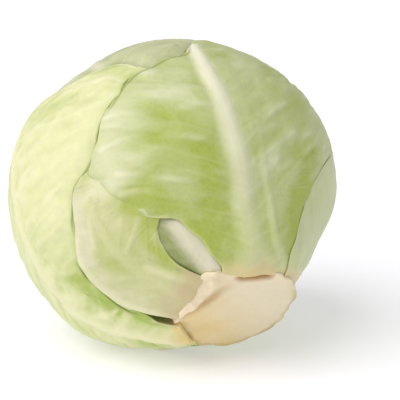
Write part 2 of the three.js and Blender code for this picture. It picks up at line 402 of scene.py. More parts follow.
@dataclass(frozen=True)
class HeadShape:
    """The ball that the leaves wrap, with its stalk's axis.

    Attributes:
        centre: The head's centre in the row frame, in metres.
        radius: Radius across the stalk's axis, in mm.
        half_length: Radius along the axis, in mm.
        height: Height of the centre over the surface it rests on, in mm.
        drop: Degrees the stalk points below level.
        yaw: Degrees the stalk points to the right of straight ahead.
        shoulder: How far the leaf bases swell out beside the stalk, in mm.
        shoulder_full: Degrees from the axis where the shoulder is full.
        shoulder_start: Degrees from the axis where it begins.
        stalk_shift: How far left and up of the axis the stalk's middle lies, in mm.
        stalk_radius: Radius of the stalk's cut face, in mm.
        torn_reach: How much farther it runs out into the torn leaf bases, in mm.
        torn_from: Degrees of turn between which the side of the torn bases begins.
        torn_to: Degrees of turn between which it ends.
        tabs: Where its rim leaves the round.
        swellings: Bulges and hollows.
    """

    centre: Vector
    radius: float = 82.0
    half_length: float = 72.7
    height: float = 76.3
    drop: float = 35.4
    yaw: float = 30.3
    shoulder: float = 4.0
    shoulder_full: float = 22.0
    shoulder_start: float = 52.0
    stalk_shift: Place = (-1.5, -2.5)
    stalk_radius: float = 31.0
    torn_reach: float = 1.8
    torn_from: Ends = (-45.0, -5.0)
    torn_to: Ends = (80.0, 112.0)
    tabs: tuple[Tab, ...] = (
        Tab(4, 15, 1.2), Tab(40, 15, 6.5), Tab(132, 25, -4.3), Tab(-85, 22, -3.4),
    )
    swellings: tuple[Swelling, ...] = (
        Swelling(112, -30, 32, -1.4),
        Swelling(76, -60, 22, 1.8),
        Swelling(136, 45, 15, -2.4),
        Swelling(124, 80, 20, 1.8),
        Swelling(94, 114, 26, -1.6),
        Swelling(63, 139, 15, 2.0),
        Swelling(39, -92, 15, -3.0),
        Swelling(24, -18, 17, 7.0),
        Swelling(28, 176, 14, -1.5),
    )

    # Where the stalk's side is looked for, in degrees: the last number is the step.
    TURNS = (-180.0, 180.0, 5.0)
    ANGLES = (14.0, 40.0, 0.1)

    @cached_property
    def stalk_axis(self) -> np.ndarray:
        """Works out which way the stalk points.

        Returns:
            A unit direction from the head's centre.
        """
        drop, yaw = math.radians(self.drop), math.radians(self.yaw)
        return np.array([
            math.cos(drop) * math.sin(yaw), -math.cos(drop) * math.cos(yaw), -math.sin(drop),
        ])

    @cached_property
    def top_way(self) -> np.ndarray:
        """Works out which way is up on the stalk's face.

        Returns:
            The unit direction square to the stalk's axis that is nearest to straight up.
        """
        up = np.array([0.0, 0.0, 1.0])
        square = up - (up @ self.stalk_axis) * self.stalk_axis
        return square / np.linalg.norm(square)

    @cached_property
    def left_way(self) -> np.ndarray:
        """Unit direction square to both, to the left seen from the stalk's front."""
        return np.cross(self.stalk_axis, self.top_way)

    def direction(self, angle: float, turn: float) -> np.ndarray:
        """Finds the direction of a place on the head.

        Args:
            angle: Degrees from the stalk's axis.
            turn: Degrees about it.

        Returns:
            A unit direction from the head's centre.
        """
        a, t = math.radians(angle), math.radians(turn)
        across = math.cos(t) * self.top_way + math.sin(t) * self.left_way
        return math.cos(a) * self.stalk_axis + math.sin(a) * across

    def bump(self, ways: np.ndarray, spot: Swelling | Hollow) -> np.ndarray:
        """How strongly a swelling or a hollow acts in many directions, from 0 to 1."""
        away = self.degrees_from(ways, self.direction(spot.angle, spot.turn))
        return fade(away, spot.spread)

    def degrees_from(self, ways: np.ndarray, direction: np.ndarray) -> np.ndarray:
        """Degrees between each of many directions and one."""
        return np.degrees(np.arccos(np.clip(ways @ direction, -1.0, 1.0)))

    def surface(self, ways: np.ndarray, depth: np.ndarray) -> np.ndarray:
        """Radius of the head's surface, sunk by a depth and flattened where it rests.

        Args:
            ways: Unit directions from the head's centre, one a row.
            depth: How far below the outermost surface, in mm, one for each direction.

        Returns:
            Radii in mm.
        """
        along = ways @ self.stalk_axis
        across = np.sqrt(np.maximum(1.0 - along * along, 0.0))
        ball = 1.0 / np.hypot(across / self.radius, along / self.half_length)
        angle = self.degrees_from(ways, self.stalk_axis)
        ball += self.shoulder * (1.0 - smooth_step(angle, self.shoulder_full, self.shoulder_start))
        for swelling in self.swellings:
            ball += swelling.height * self.bump(ways, swelling)
        ball -= depth
        down = np.maximum(-ways[:, 2], 1e-6)
        resting = (self.height - depth) / down
        return np.where(ways[:, 2] < 0, np.minimum(ball, resting), ball)

    def torn_side(self, turn: np.ndarray) -> np.ndarray:
        """1 on the side of the stalk with torn leaf bases, 0 elsewhere, by degrees of turn."""
        return smooth_step(turn, *self.torn_from) * (1.0 - smooth_step(turn, *self.torn_to))

    def rim_reach(self, turn: np.ndarray) -> np.ndarray:
        """How far the stalk's rim lies beyond its round part, in mm, by degrees of turn."""
        return self.torn_reach * self.torn_side(turn) + sum(tab.at(turn) for tab in self.tabs)

    def beside_stalk(self, ways: np.ndarray) -> np.ndarray:
        """Measures how far the head's surface lies from the stalk's rim.

        Args:
            ways: Unit directions from the head's centre, one a row.

        Returns:
            Distances in mm, below zero inside the rim.
        """
        reach = ways * self.surface(ways, np.zeros(len(ways)))[:, None]
        left = reach @ self.left_way - self.stalk_shift[0]
        top = reach @ self.top_way - self.stalk_shift[1]
        torn = self.rim_reach(np.degrees(np.arctan2(left, top)))
        return np.hypot(left, top) - self.stalk_radius - torn

    def stalk_limit(self, overlap: float) -> tuple[np.ndarray, np.ndarray]:
        """Finds where the head's surface meets the stalk's side.

        Args:
            overlap: How far inside the stalk's rim to look for, in mm.

        Returns:
            Turns about the axis, and the angle from the axis at each, in degrees.
        """
        turns, angles = np.arange(*self.TURNS), np.arange(*self.ANGLES)
        limits = []
        for turn in turns:
            ways = np.array([self.direction(angle, turn) for angle in angles])
            limits.append(angles[np.argmax(self.beside_stalk(ways) > -overlap)])
        return turns, np.array(limits)

    def to_world(self, places: np.ndarray) -> np.ndarray:
        """Turns places in mm about the head's centre into metres in the row frame."""
        return places * MM + np.array(self.centre)


# ---- finishes ----
def add_node(
    tree: bpy.types.NodeTree,
    kind: str,
    settings: Optional[dict[str, Any]] = None,
    inputs: Optional[dict[Any, Any]] = None,
) -> bpy.types.Node:
    """Adds a node with its settings, values and links.

    Args:
        tree: The material's node tree.
        kind: The node's type.
        settings: Properties of the node.
        inputs: Values or output sockets for its inputs, by name or number.

    Returns:
        The node.
    """
    node = tree.nodes.new(kind)
    for name, value in (settings or {}).items():
        setattr(node, name, value)
    for name, value in (inputs or {}).items():
        if isinstance(value, bpy.types.NodeSocket):
            tree.links.new(value, node.inputs[name])
        else:
            node.inputs[name].default_value = value
    return node


class Tone(Enum):
    """The masks that a piece carries for its finish to colour."""

    GREEN = "green"
    CREAM = "cream"
    PALE = "pale"
    TAN = "tan"
    VEIN = "vein"
    # The margin's thin line: partly the margin's own tint, partly a painted highlight along it.
    EDGE = "edge"
    # Painted shade: a dark line beside the margin of a leaf that lies over another, and the dark
    # inside of hollows.
    SEAM = "seam_shade"


Masks = dict[Tone, Any]


def blank_material(name: str) -> tuple[bpy.types.Material, bpy.types.NodeTree, Masks]:
    """Starts a material that holds nothing but the masks of its piece.

    Args:
        name: The finish's name.

    Returns:
        The material, its node tree, and each tone's mask as an output socket.
    """
    material = bpy.data.materials.new(name)
    material.use_nodes = True
    tree = material.node_tree
    tree.nodes.clear()
    masks = {
        tone: add_node(tree, "ShaderNodeAttribute", {"attribute_name": tone.value}).outputs["Fac"]
        for tone in Tone
    }
    return material, tree, masks


def lay_coats(
    tree: bpy.types.NodeTree, ground: Any, coats: Iterable[tuple[Any, str]]
) -> bpy.types.NodeSocket:
    """Lays colours over one another, each by a mask.

    Args:
        tree: The material's node tree.
        ground: The colour beneath them all, or the socket that gives it.
        coats: The mask's socket and the hex colour of each, in order.

    Returns:
        The socket of the colour on top.
    """
    for mask, tint in coats:
        ground = add_node(tree, "ShaderNodeMix", {"data_type": "RGBA"}, {
            "Factor": mask, 6: ground, 7: linear_colour(tint),
        }).outputs[2]
    return ground


def write_tones(mesh: bpy.types.Mesh, tones: Masks) -> None:
    """Writes a mask for every tone on a mesh, empty where none is given.

    Args:
        mesh: The mesh.
        tones: The strength of a tone at each of the mesh's vertices.
    """
    empty = np.zeros(len(mesh.vertices))
    for tone in Tone:
        attribute = mesh.attributes.new(tone.value, "FLOAT", "POINT")
        attribute.data.foreach_set("value", np.clip(tones.get(tone, empty), 0.0, 1.0))


@dataclass(frozen=True)
class LeafFinish:
    """Living leaf tissue under a thin waxy bloom: soft, slightly see-through and satin.

    Attributes:
        name: The finish's name.
        blade: Colour of the blade between its veins.
        green: Where more leaf green is left.
        cream: Where the leaf is bleached.
        rib: Colour of ribs and veins.
        edge: Colour of its thin margin, partly the margin's own tint and partly a painted
            highlight along it.
        seam_shade: Colour of the shaded line beside the margin of a leaf over it.
        tan: Where it was torn or has dried.
        roughness: How dull the wax is.
        net: How clearly the net of finest veins shows, from 0 to 1.
    """

    name: str
    blade: str
    green: str
    cream: str
    rib: str
    edge: str = "#a9b25c"
    seam_shade: str = "#74812c"
    tan: str = "#dccaa0"
    roughness: float = 0.46
    net: float = 0.05

    # Sizes of its patterns, and how its lines and grain rise as a part of the wax's relief.
    BLOTCH_MM = 17.0
    GRAIN_MM = 4.5
    NET_MM = 3.4
    NET_LINE = 0.16
    STREAK_MM = 1.6
    STREAK_LENGTH = 0.07
    WAX_MM = 1.1
    WAX_VARIES = (-0.06, 0.08)
    LINES_RISE = 2.0
    GRAIN_RISE = 2.2
    RELIEF_MM = 0.12
    GLOW_MM = 2.4
    GLOW_DEPTH = (1.0, 0.85, 0.3)

    def build(self) -> bpy.types.Material:
        """Makes the material.

        Returns:
            The finished material.
        """
        material, tree, masks = blank_material(self.name)
        laid_flat = add_node(tree, "ShaderNodeUVMap", {"uv_map": UV_NAME}).outputs["UV"]
        blotch = add_node(tree, "ShaderNodeTexNoise", None, {
            "Vector": laid_flat, "Scale": 1 / (self.BLOTCH_MM * MM), "Detail": 4.0,
            "Roughness": 0.55, "Distortion": 0.6,
        }).outputs["Fac"]
        grain = add_node(tree, "ShaderNodeTexNoise", None, {
            "Vector": laid_flat, "Scale": 1 / (self.GRAIN_MM * MM), "Detail": 3.0,
            "Roughness": 0.6,
        }).outputs["Fac"]

        # The green gathers in blotches between the veins, never as an even coat.
        patchy = add_node(tree, "ShaderNodeMapRange", None, {
            "Value": blotch, "From Min": 0.3, "From Max": 0.7, "To Min": 0.8, "To Max": 1.14,
        }).outputs["Result"]
        greened = add_node(tree, "ShaderNodeMath", {"operation": "MULTIPLY", "use_clamp": True}, {
            0: masks[Tone.GREEN], 1: patchy,
        }).outputs["Value"]

        # The finest veins make a net of pale lines a few millimetres apart.
        bent = add_node(tree, "ShaderNodeVectorMath", {"operation": "MULTIPLY_ADD"}, {
            0: add_node(tree, "ShaderNodeTexNoise", None, {
                "Vector": laid_flat, "Scale": 1 / (self.GRAIN_MM * MM), "Detail": 2.0,
            }).outputs["Color"],
            1: (self.NET_MM * MM,) * 3,
            2: laid_flat,
        }).outputs["Vector"]
        cells = add_node(tree, "ShaderNodeTexVoronoi", {"feature": "DISTANCE_TO_EDGE"}, {
            "Vector": bent, "Scale": 1 / (self.NET_MM * MM),
        }).outputs["Distance"]
        net = add_node(tree, "ShaderNodeMapRange", {"interpolation_type": "SMOOTHSTEP"}, {
            "Value": cells, "From Min": 0.0, "From Max": self.NET_LINE,
            "To Min": self.net, "To Max": 0.0,
        }).outputs["Result"]
        lines = add_node(tree, "ShaderNodeMath", {"operation": "MAXIMUM", "use_clamp": True}, {
            0: net, 1: masks[Tone.VEIN],
        }).outputs["Value"]
        # Over the leaf's own colours go its margin line, partly a painted highlight, and the
        # painted shade beside covering leaves and inside hollows.
        colour = lay_coats(tree, linear_colour(self.blade), (
            (greened, self.green),
            (masks[Tone.CREAM], self.cream),
            (masks[Tone.PALE], self.rib),
            (lines, self.rib),
            (masks[Tone.TAN], self.tan),
            (masks[Tone.EDGE], self.edge),
            (masks[Tone.SEAM], self.seam_shade),
        ))

        # Long fibres streak the ribs, and the rest is faintly mottled.
        drawn_out = add_node(tree, "ShaderNodeMapping", None, {
            "Vector": laid_flat, "Scale": (1.0, self.STREAK_LENGTH, 1.0),
        }).outputs["Vector"]
        streaks = add_node(tree, "ShaderNodeTexNoise", None, {
            "Vector": drawn_out, "Scale": 1 / (self.STREAK_MM * MM), "Detail": 3.0,
            "Roughness": 0.6,
        }).outputs["Fac"]
        texture = add_node(tree, "ShaderNodeMix", {"data_type": "FLOAT"}, {
            "Factor": masks[Tone.PALE], 2: grain, 3: streaks,
        }).outputs[0]
        light = add_node(tree, "ShaderNodeMapRange", None, {
            "Value": texture, "From Min": 0.25, "From Max": 0.75, "To Min": 0.955, "To Max": 1.04,
        }).outputs["Result"]
        colour = add_node(tree, "ShaderNodeHueSaturation", None, {
            "Color": colour, "Value": light,
        }).outputs["Color"]

        # The wax is duller in some places than in others, over a fine relief.
        wax = add_node(tree, "ShaderNodeMapRange", None, {
            "Value": grain, "From Min": 0.3, "From Max": 0.7,
            "To Min": self.roughness + self.WAX_VARIES[0],
            "To Max": self.roughness + self.WAX_VARIES[1],
        }).outputs["Result"]
        fine = add_node(tree, "ShaderNodeTexNoise", None, {
            "Vector": laid_flat, "Scale": 1 / (self.WAX_MM * MM), "Detail": 2.0,
        }).outputs["Fac"]
        relief = fine
        for height, rise in ((lines, self.LINES_RISE), (texture, self.GRAIN_RISE)):
            relief = add_node(tree, "ShaderNodeMath", {"operation": "MULTIPLY_ADD"}, {
                0: height, 1: rise, 2: relief,
            }).outputs["Value"]
        bump = add_node(tree, "ShaderNodeBump", None, {
            "Height": relief, "Strength": 0.5, "Distance": self.RELIEF_MM * MM,
        }).outputs["Normal"]
        shader = add_node(tree, "ShaderNodeBsdfPrincipled", None, {
            "Base Color": colour, "Roughness": wax, "Normal": bump, "IOR": 1.42,
            "Specular IOR Level": 0.42, "Subsurface Weight": 0.3,
            "Subsurface Radius": self.GLOW_DEPTH, "Subsurface Scale": self.GLOW_MM * MM,
        })
        add_node(tree, "ShaderNodeOutputMaterial", None, {"Surface": shader.outputs["BSDF"]})
        return material


@dataclass(frozen=True)
class StalkFinish:
    """A freshly sawn stalk: moist, faintly fibrous pith with a drier, darker rind.

    Attributes:
        name: The finish's name.
        pith: Colour of the cut face.
        warm: Where the cut has dried.
        rind: Colour of the rind at the rim.
        torn: Colour of the torn stubs of leaf bases.
        crack: Colour in the split along the top, partly its own dried brown and partly painted
            shade, and the painted shade along the groove beside the stubs.
    """

    name: str = "cut cabbage stalk"
    pith: str = "#e5d9bc"
    warm: str = "#e2cb92"
    rind: str = "#b9a968"
    torn: str = "#eedcbc"
    crack: str = "#ad7f3a"

    # Sizes of its patterns, and how the blotches rise as a part of the fibres' relief.
    FIBRE_MM = 0.9
    BLOTCH_MM = 12.0
    BLOTCH_RISE = 3.0
    RELIEF_MM = 0.15
    GLOW_MM = 2.5
    GLOW_DEPTH = (1.0, 0.7, 0.4)

    def build(self) -> bpy.types.Material:
        """Makes the material.

        Returns:
            The finished material.
        """
        material, tree, masks = blank_material(self.name)
        place = add_node(tree, "ShaderNodeTexCoord").outputs["Object"]
        blotch = add_node(tree, "ShaderNodeTexNoise", None, {
            "Vector": place, "Scale": 1 / (self.BLOTCH_MM * MM), "Detail": 4.0,
        }).outputs["Fac"]
        dots = add_node(tree, "ShaderNodeTexNoise", None, {
            "Vector": place, "Scale": 1 / (self.FIBRE_MM * MM), "Detail": 3.0, "Roughness": 0.65,
        }).outputs["Fac"]

        # It dries in blotches, and the rind shows only at the rim.
        uneven = add_node(tree, "ShaderNodeMapRange", None, {
            "Value": blotch, "From Min": 0.3, "From Max": 0.7, "To Min": 0.6, "To Max": 1.3,
        }).outputs["Result"]
        warmed = add_node(tree, "ShaderNodeMath", {"operation": "MULTIPLY", "use_clamp": True}, {
            0: masks[Tone.CREAM], 1: uneven,
        }).outputs["Value"]
        colour = lay_coats(tree, linear_colour(self.pith), (
            (warmed, self.warm),
            (masks[Tone.GREEN], self.rind),
            (masks[Tone.PALE], self.torn),
            (masks[Tone.TAN], self.crack),
        ))

        # Cut fibres end in fine dots, a little lighter or darker and raised or sunk.
        light = add_node(tree, "ShaderNodeMapRange", None, {
            "Value": dots, "From Min": 0.25, "From Max": 0.75, "To Min": 0.95, "To Max": 1.04,
        }).outputs["Result"]
        colour = add_node(tree, "ShaderNodeHueSaturation", None, {
            "Color": colour, "Value": light,
        }).outputs["Color"]
        relief = add_node(tree, "ShaderNodeMath", {"operation": "MULTIPLY_ADD"}, {
            0: blotch, 1: self.BLOTCH_RISE, 2: dots,
        }).outputs["Value"]
        bump = add_node(tree, "ShaderNodeBump", None, {
            "Height": relief, "Strength": 0.6, "Distance": self.RELIEF_MM * MM,
        }).outputs["Normal"]
        shader = add_node(tree, "ShaderNodeBsdfPrincipled", None, {
            "Base Color": colour, "Roughness": 0.55, "Normal": bump,
            "Specular IOR Level": 0.4, "Subsurface Weight": 0.3,
            "Subsurface Radius": self.GLOW_DEPTH, "Subsurface Scale": self.GLOW_MM * MM,
        })
        add_node(tree, "ShaderNodeOutputMaterial", None, {"Surface": shader.outputs["BSDF"]})
        return material


# ---- leaves ----
@dataclass(frozen=True)
class Ridge:
    """A raised line on a leaf's outer face, such as a midrib or a rolled edge.

    Attributes:
        path: A few flat places that it passes through, in mm.
        half_width: Half its width at its start and its end, in mm.
        height: Its height at its start and its end, in mm.
        pale: How fully it takes the ribs' colour at its start and its end.
    """

    path: tuple[Place, ...]
    half_width: Ends
    height: Ends
    pale: Ends = (0.5, 0.8)


@dataclass(frozen=True)
class Patch:
    """A soft-edged patch of a tone on a leaf.

    Attributes:
        tone: Which tone.
        x: Middle of the patch across the leaf, in mm.
        y: Middle of the patch along the leaf, in mm.
        across: How far it spreads across, in mm.
        along: How far it spreads along, in mm.
        strength: How strong it is in its middle.
        lean: Degrees its long way leans from the leaf's y towards its right.
    """

    tone: Tone
    x: float
    y: float
    across: float
    along: float
    strength: float = 1.0
    lean: float = 0.0

    def at(self, places: np.ndarray) -> np.ndarray:
        """Reads the patch.

        Args:
            places: Flat places on the leaf in mm, one a row.

        Returns:
            Its strength at each place.
        """
        lean = math.radians(self.lean)
        away = places - np.array([self.x, self.y])
        side = away[:, 0] * math.cos(lean) - away[:, 1] * math.sin(lean)
        length = away[:, 0] * math.sin(lean) + away[:, 1] * math.cos(lean)
        return self.strength * np.exp(-((side / self.across) ** 2 + (length / self.along) ** 2))


@dataclass(frozen=True)
class Stroke:
    """A line of a tone on a leaf, faded at both its ends.

    Attributes:
        tone: Which tone.
        path: A few flat places that it passes through, in mm.
        half_width: Half its width, in mm.
        strength: How strong it is in its middle.
    """

    tone: Tone
    path: tuple[Place, ...]
    half_width: float = 1.0
    strength: float = 1.0

    # How steeply its strength rises from either end, as a part of its length, and from what.
    FADE = 6.0
    LEAST = 0.1

    def at(self, places: np.ndarray) -> np.ndarray:
        """Reads the line.

        Args:
            places: Flat places on the leaf in mm, one a row.

        Returns:
            Its strength at each place.
        """
        path = evenly_spaced(curve_through(self.path, closed=False))
        part = np.linspace(0.0, 1.0, len(path))
        ends = np.minimum(1.0, self.FADE * np.minimum(part, 1.0 - part) + self.LEAST)
        sheet = Tracing()
        sheet.stroke(path, np.full(len(path), self.half_width), self.strength * ends)
        return sheet.at(places)


@dataclass(frozen=True)
class Veining:
    """How a leaf's side veins branch off its midrib.

    Attributes:
        spacing: Distance between side veins along the midrib, in mm.
        base_angle: Degrees they leave the midrib at by the stalk.
        tip_angle: Degrees they leave it at by the tip.
        bend: Degrees a vein turns towards the tip for each mm.
        height: Height of a side vein where it starts, in mm.
        half_width: Half its width where it starts, in mm.
        pale: How clearly it shows.
        lean: How far the folds between them rise towards the tip for each mm outwards.
    """

    spacing: float = 12.0
    base_angle: float = 62.0
    tip_angle: float = 42.0
    bend: float = 0.28
    height: float = 0.45
    half_width: float = 1.5
    pale: float = 0.4
    lean: float = 0.45

    # Where side veins leave the midrib: parts of the spacing and of their strength, degrees.
    FIRST_AT = (0.2, 0.8)
    SPACING_VARIES = (0.75, 1.25)
    ANGLE_VARIES = (-6, 6)
    WEAKER_AT_TIP = 0.45

    # How far a vein and its branches run and how they wander, in mm and radians.
    LONGEST = (130.0, 34.0, 13.0)
    LENGTH_VARIES = (0.7, 1.15)
    STEP = 0.8
    WANDER = 0.012
    WANDER_LASTS = 0.93
    MARGIN_CLEAR = 1.0
    LEAST_STEPS = 4

    # Where branches fork off, in mm and degrees, and how much less they bend and show.
    FIRST_BRANCH = (5, 11)
    NEXT_BRANCH = ((6, 12), (4, 8))
    FORK = (32, 52)
    BRANCH_BEND = 0.5
    BRANCH_STRENGTH = 0.6
    WEAKER_OUTWARDS = 0.7

    # How a vein fades and narrows to its end.
    FADES = 0.7
    NARROWS = 0.55
    LEAST_HALF = 0.8


@dataclass
class Leaf:
    """One leaf: a thin closed shell, cut to its outline and draped over those beneath.

    Attributes:
        name: The piece's name, which is also its CAD node's.
        slot: The record's material slot; not used.
        finish: Its finish.
        angle: Degrees from the stalk's axis to the leaf's middle.
        turn: Degrees of the middle about the axis.
        outline: Flat places around its margin, in mm.
        rib: Its midrib.
        rib_at: Where the shell is thickened for the midrib across the leaf, in mm.
        ridges: Further raised lines.
        patches: Patches of tone.
        strokes: Lines of tone.
        flush: Patches where its margin lies flush on the leaves beneath.
        veining: How its side veins branch.
        base_green: Green everywhere on the blade, from 0 to 1.
        pucker: Height of the soft unevenness between its veins, in mm.
        fold: Height of the soft folds that run out from its midrib, in mm.
        streak: How much greener it is between its folds.
        fold_size: Distance from one fold to the next, in mm.
        base_tan: How tan its base is beside the stalk, and for how many mm.
        edge_line: How clearly its margin shows as a line, partly a painted highlight.
        edge_width: Width of that line, in mm.
        seam_line: How dark the line of painted shade beside its margin is on the leaves beneath.
        seam_width: Width of that painted shade line, in mm.
        edge_part: Thickness of its margin as a part of the blade's.
        gap: Room left under it, in mm.
        ragged: How uneven its margin is, in mm.
        segments: Mesh rows across the leaf.
        seed: Seed of everything uneven about it.
    """

    name: str
    slot: str
    finish: LeafFinish
    angle: float
    turn: float
    outline: tuple[Place, ...]
    rib: Ridge
    rib_at: float = 0.0
    ridges: tuple[Ridge, ...] = ()
    patches: tuple[Patch, ...] = ()
    strokes: tuple[Stroke, ...] = ()
    flush: tuple[Patch, ...] = ()
    veining: Veining = field(default_factory=Veining)
    base_green: float = 0.35
    pucker: float = 0.5
    fold: float = 0.28
    streak: float = 0.2
    fold_size: float = 5.5
    base_tan: tuple[float, float] = (0.8, 7.0)
    edge_line: float = 0.5
    edge_width: float = 1.1
    seam_line: float = 0.8
    seam_width: float = 0.8
    edge_part: float = 0.55
    gap: float = 0.5
    ragged: float = 0.35
    segments: int = 200
    seed: int = 1

    # The shell, in mm.
    BLADE = 1.3
    EDGE_THINS = 7.0
    EDGE_ROUND = 0.8
    EDGE_ROLL = 0.5
    FLUSH_THINS = 0.75
    RIB_THICK = (4.0, 0.6)
    RIB_HALF = (15.0, 4.0)
    COVER_CLEAR = 0.8
    DRAPE = 11.0
    STALK_OVERLAP = 0.8
    MAP_RADIUS = 82.0
    INNER_LIFT = 0.3

    # Where its margin is looked for, and how its mesh is laid out.
    BEARINGS = 1440
    LONGEST_REACH = 150.0
    REACH_STEP = 0.25
    INNER_RINGS = (1.0, 0.985, 0.955, 0.9, 0.81, 0.69, 0.56, 0.42, 0.28, 0.14, 0.04)
    CROWD = 0.02
    CROWD_POWER = 30

    # Its unevenness: the ragged margin, the puckers, and the folds that run out from the midrib.
    RAGGED = (Layer(1.0, 7.0), Layer(0.7, 3.1, 40.0), Layer(0.4, 1.4, 90.0))
    SOFT = (Layer(1.0, 14.0), Layer(0.5, 7.5, 50.0), Layer(0.15, 3.4, 20.0))
    SOFT_PART = 0.6
    FOLDS = (Layer(1.0, 1.0), Layer(0.6, 0.56, 200.0))
    FOLD_STRETCH = 3.0
    FOLD_CLEAR = 6.0
    OTHER_HALF = 300.0
    FOLD_AREAS = Layer(1.0, 24.0, 35.0)
    FOLD_VARIES = (0.45, 1.0)

    # Its tones: how far they are bent, and how they follow the folds, the margin and the stalk.
    BEND = 5.0
    BEND_LAYERS = (Layer(1.0, 12.0, 70.0), Layer(1.0, 9.0, 30.0))
    BLOTCHES = Layer(0.5, 16.0)
    RIB_PALE_WIDER = 1.25
    VEIN_PALE_NARROWER = 0.75
    FOLD_FADES_GREEN = 0.3
    FOLD_PALE = 2.0
    FOLD_PALE_FROM = 0.3
    TAN_UNEVEN = Layer(2.5, 6.0, 25.0)
    TAN_FROM = 0.5
    EDGE_UNEVEN = Layer(0.6, 6.0)
    EDGE_FROM = 0.15
    SEAM_UNEVEN = Layer(0.8, 8.0, 15.0)
    SEAM_FADES = (0.5, 1.5)
    SEAM_GREEN = 0.4
    SEAM_GREEN_FADES = (0.5, 5.0)
    MEAN_LINE = 0.8
    THINNEST_SEAM = 0.2

    def place(self, head: HeadShape, above: list["Leaf"], hollows: Iterable[Hollow]) -> None:
        """Settles the leaf on the head, under the leaves that cover it.

        Args:
            head: The head's shape.
            above: The leaves outside this one, outermost first.
            hollows: Empty room left under leaves.
        """
        self.head = head
        self.above = list(above)
        covering = {leaf.name for leaf in above}
        self.hollows = [h for h in hollows if h.under in covering]
        self.middle = head.direction(self.angle, self.turn)
        tip = (head.stalk_axis @ self.middle) * self.middle - head.stalk_axis
        self.tip_way = tip / np.linalg.norm(tip)
        self.right_way = np.cross(self.tip_way, self.middle)
        self.noise = SoftNoise(self.seed)
        self._find_margin()

    def flatten(self, ways: np.ndarray) -> np.ndarray:
        """Lays directions out flat about the leaf's middle.

        Args:
            ways: Unit directions from the head's centre, one a row.

        Returns:
            Their flat places in mm, one a row.
        """
        angle = np.arccos(np.clip(ways @ self.middle, -1.0, 1.0))
        x, y = ways @ self.right_way, ways @ self.tip_way
        scale = angle * self.MAP_RADIUS / np.maximum(np.hypot(x, y), 1e-9)
        return np.stack([x * scale, y * scale], axis=1)

    def drape(self, places: np.ndarray) -> np.ndarray:
        """Takes flat places back to the head.

        Args:
            places: Flat places in mm, one a row.

        Returns:
            Unit directions to them from the head's centre, one a row.
        """
        reach = np.maximum(np.hypot(places[:, 0], places[:, 1]), 1e-9)
        angle = reach / self.MAP_RADIUS
        side = (places[:, :1] * self.right_way + places[:, 1:] * self.tip_way) / reach[:, None]
        return np.cos(angle)[:, None] * self.middle + np.sin(angle)[:, None] * side

    def _find_margin(self) -> None:
        """Works out how far the leaf reaches along each bearing, up to the stalk's room."""
        curve = curve_through(self.outline, closed=True)
        bearing = np.arctan2(curve[:, 1], curve[:, 0])
        order = np.argsort(bearing)
        self.bearings = np.linspace(-math.pi, math.pi, self.BEARINGS, endpoint=False)
        reach = np.interp(
            self.bearings, bearing[order], np.hypot(*curve[order].T), period=2 * math.pi
        )
        rays = np.stack([np.cos(self.bearings), np.sin(self.bearings)], axis=1)
        edge = rays * reach[:, None]
        reach += self.ragged * self.noise.layered(edge, *self.RAGGED)
        self.free_reach = reach
        self.reach = np.minimum(reach, self._stalk_reach(rays))
        slope = np.gradient(reach, self.bearings) / reach
        self.squareness = 1.0 / np.sqrt(1.0 + slope * slope)

    def _stalk_reach(self, rays: np.ndarray) -> np.ndarray:
        """Finds how far each bearing runs before it meets the stalk's side.

        Args:
            rays: Flat unit directions from the leaf's middle, one a row.

        Returns:
            A distance in mm for each.
        """
        count = round(self.LONGEST_REACH / self.REACH_STEP) + 1
        steps = np.linspace(0.0, self.LONGEST_REACH, count)
        turns, limits = self.head.stalk_limit(self.STALK_OVERLAP)
        ways = self.drape((rays[:, None, :] * steps[:, None]).reshape(-1, 2))
        angle = self.head.degrees_from(ways, self.head.stalk_axis)
        turn = np.degrees(np.arctan2(ways @ self.head.left_way, ways @ self.head.top_way))
        inside = angle < np.interp(turn, turns, limits, period=360.0)
        inside = inside.reshape(len(rays), len(steps))
        return np.where(inside.any(axis=1), steps[np.argmax(inside, axis=1)], steps[-1])

    def margin_distance(self, places: np.ndarray) -> np.ndarray:
        """Measures how far places lie in from the leaf's free margin.

        Args:
            places: Flat places in mm, one a row.

        Returns:
            Distances in mm, below zero outside the margin.
        """
        bearing = np.arctan2(places[:, 1], places[:, 0])
        reach = np.interp(bearing, self.bearings, self.free_reach, period=2 * math.pi)
        square = np.interp(bearing, self.bearings, self.squareness, period=2 * math.pi)
        return (reach - np.hypot(places[:, 0], places[:, 1])) * square

    def cover(self, ways: np.ndarray) -> np.ndarray:
        """1 in directions where the leaf lies over the others, falling to 0 beside its margin."""
        outside = -self.margin_distance(self.flatten(ways))
        return 1.0 - smooth_step(outside, self.COVER_CLEAR, self.COVER_CLEAR + self.DRAPE)

    def thickness(self, places: np.ndarray) -> np.ndarray:
        """Measures the shell: its blade, the thinner margin and the midrib.

        Args:
            places: Flat places in mm, one a row.

        Returns:
            Thickness in mm at each place.
        """
        along = smooth_step(places[:, 1], -self.MAP_RADIUS, self.MAP_RADIUS)
        rib = blend(self.RIB_THICK, along)
        away = np.abs(places[:, 0] - self.rib_at) / blend(self.RIB_HALF, along)
        inside = smooth_step(self.margin_distance(places), 0.0, self.EDGE_THINS)
        margin = self.edge_part * (1.0 - self.FLUSH_THINS * self.flush_part(places))
        blade = self.BLADE * (margin + (1.0 - margin) * inside)
        return blade + rib * inside * (1.0 - smooth_step(away, 0.0, 1.0))

    def flush_part(self, places: np.ndarray) -> np.ndarray:
        """How flush the margin lies at flat places, from 0 to 1."""
        total = sum((patch.at(places) for patch in self.flush), np.zeros(len(places)))
        return np.clip(total, 0.0, 1.0)

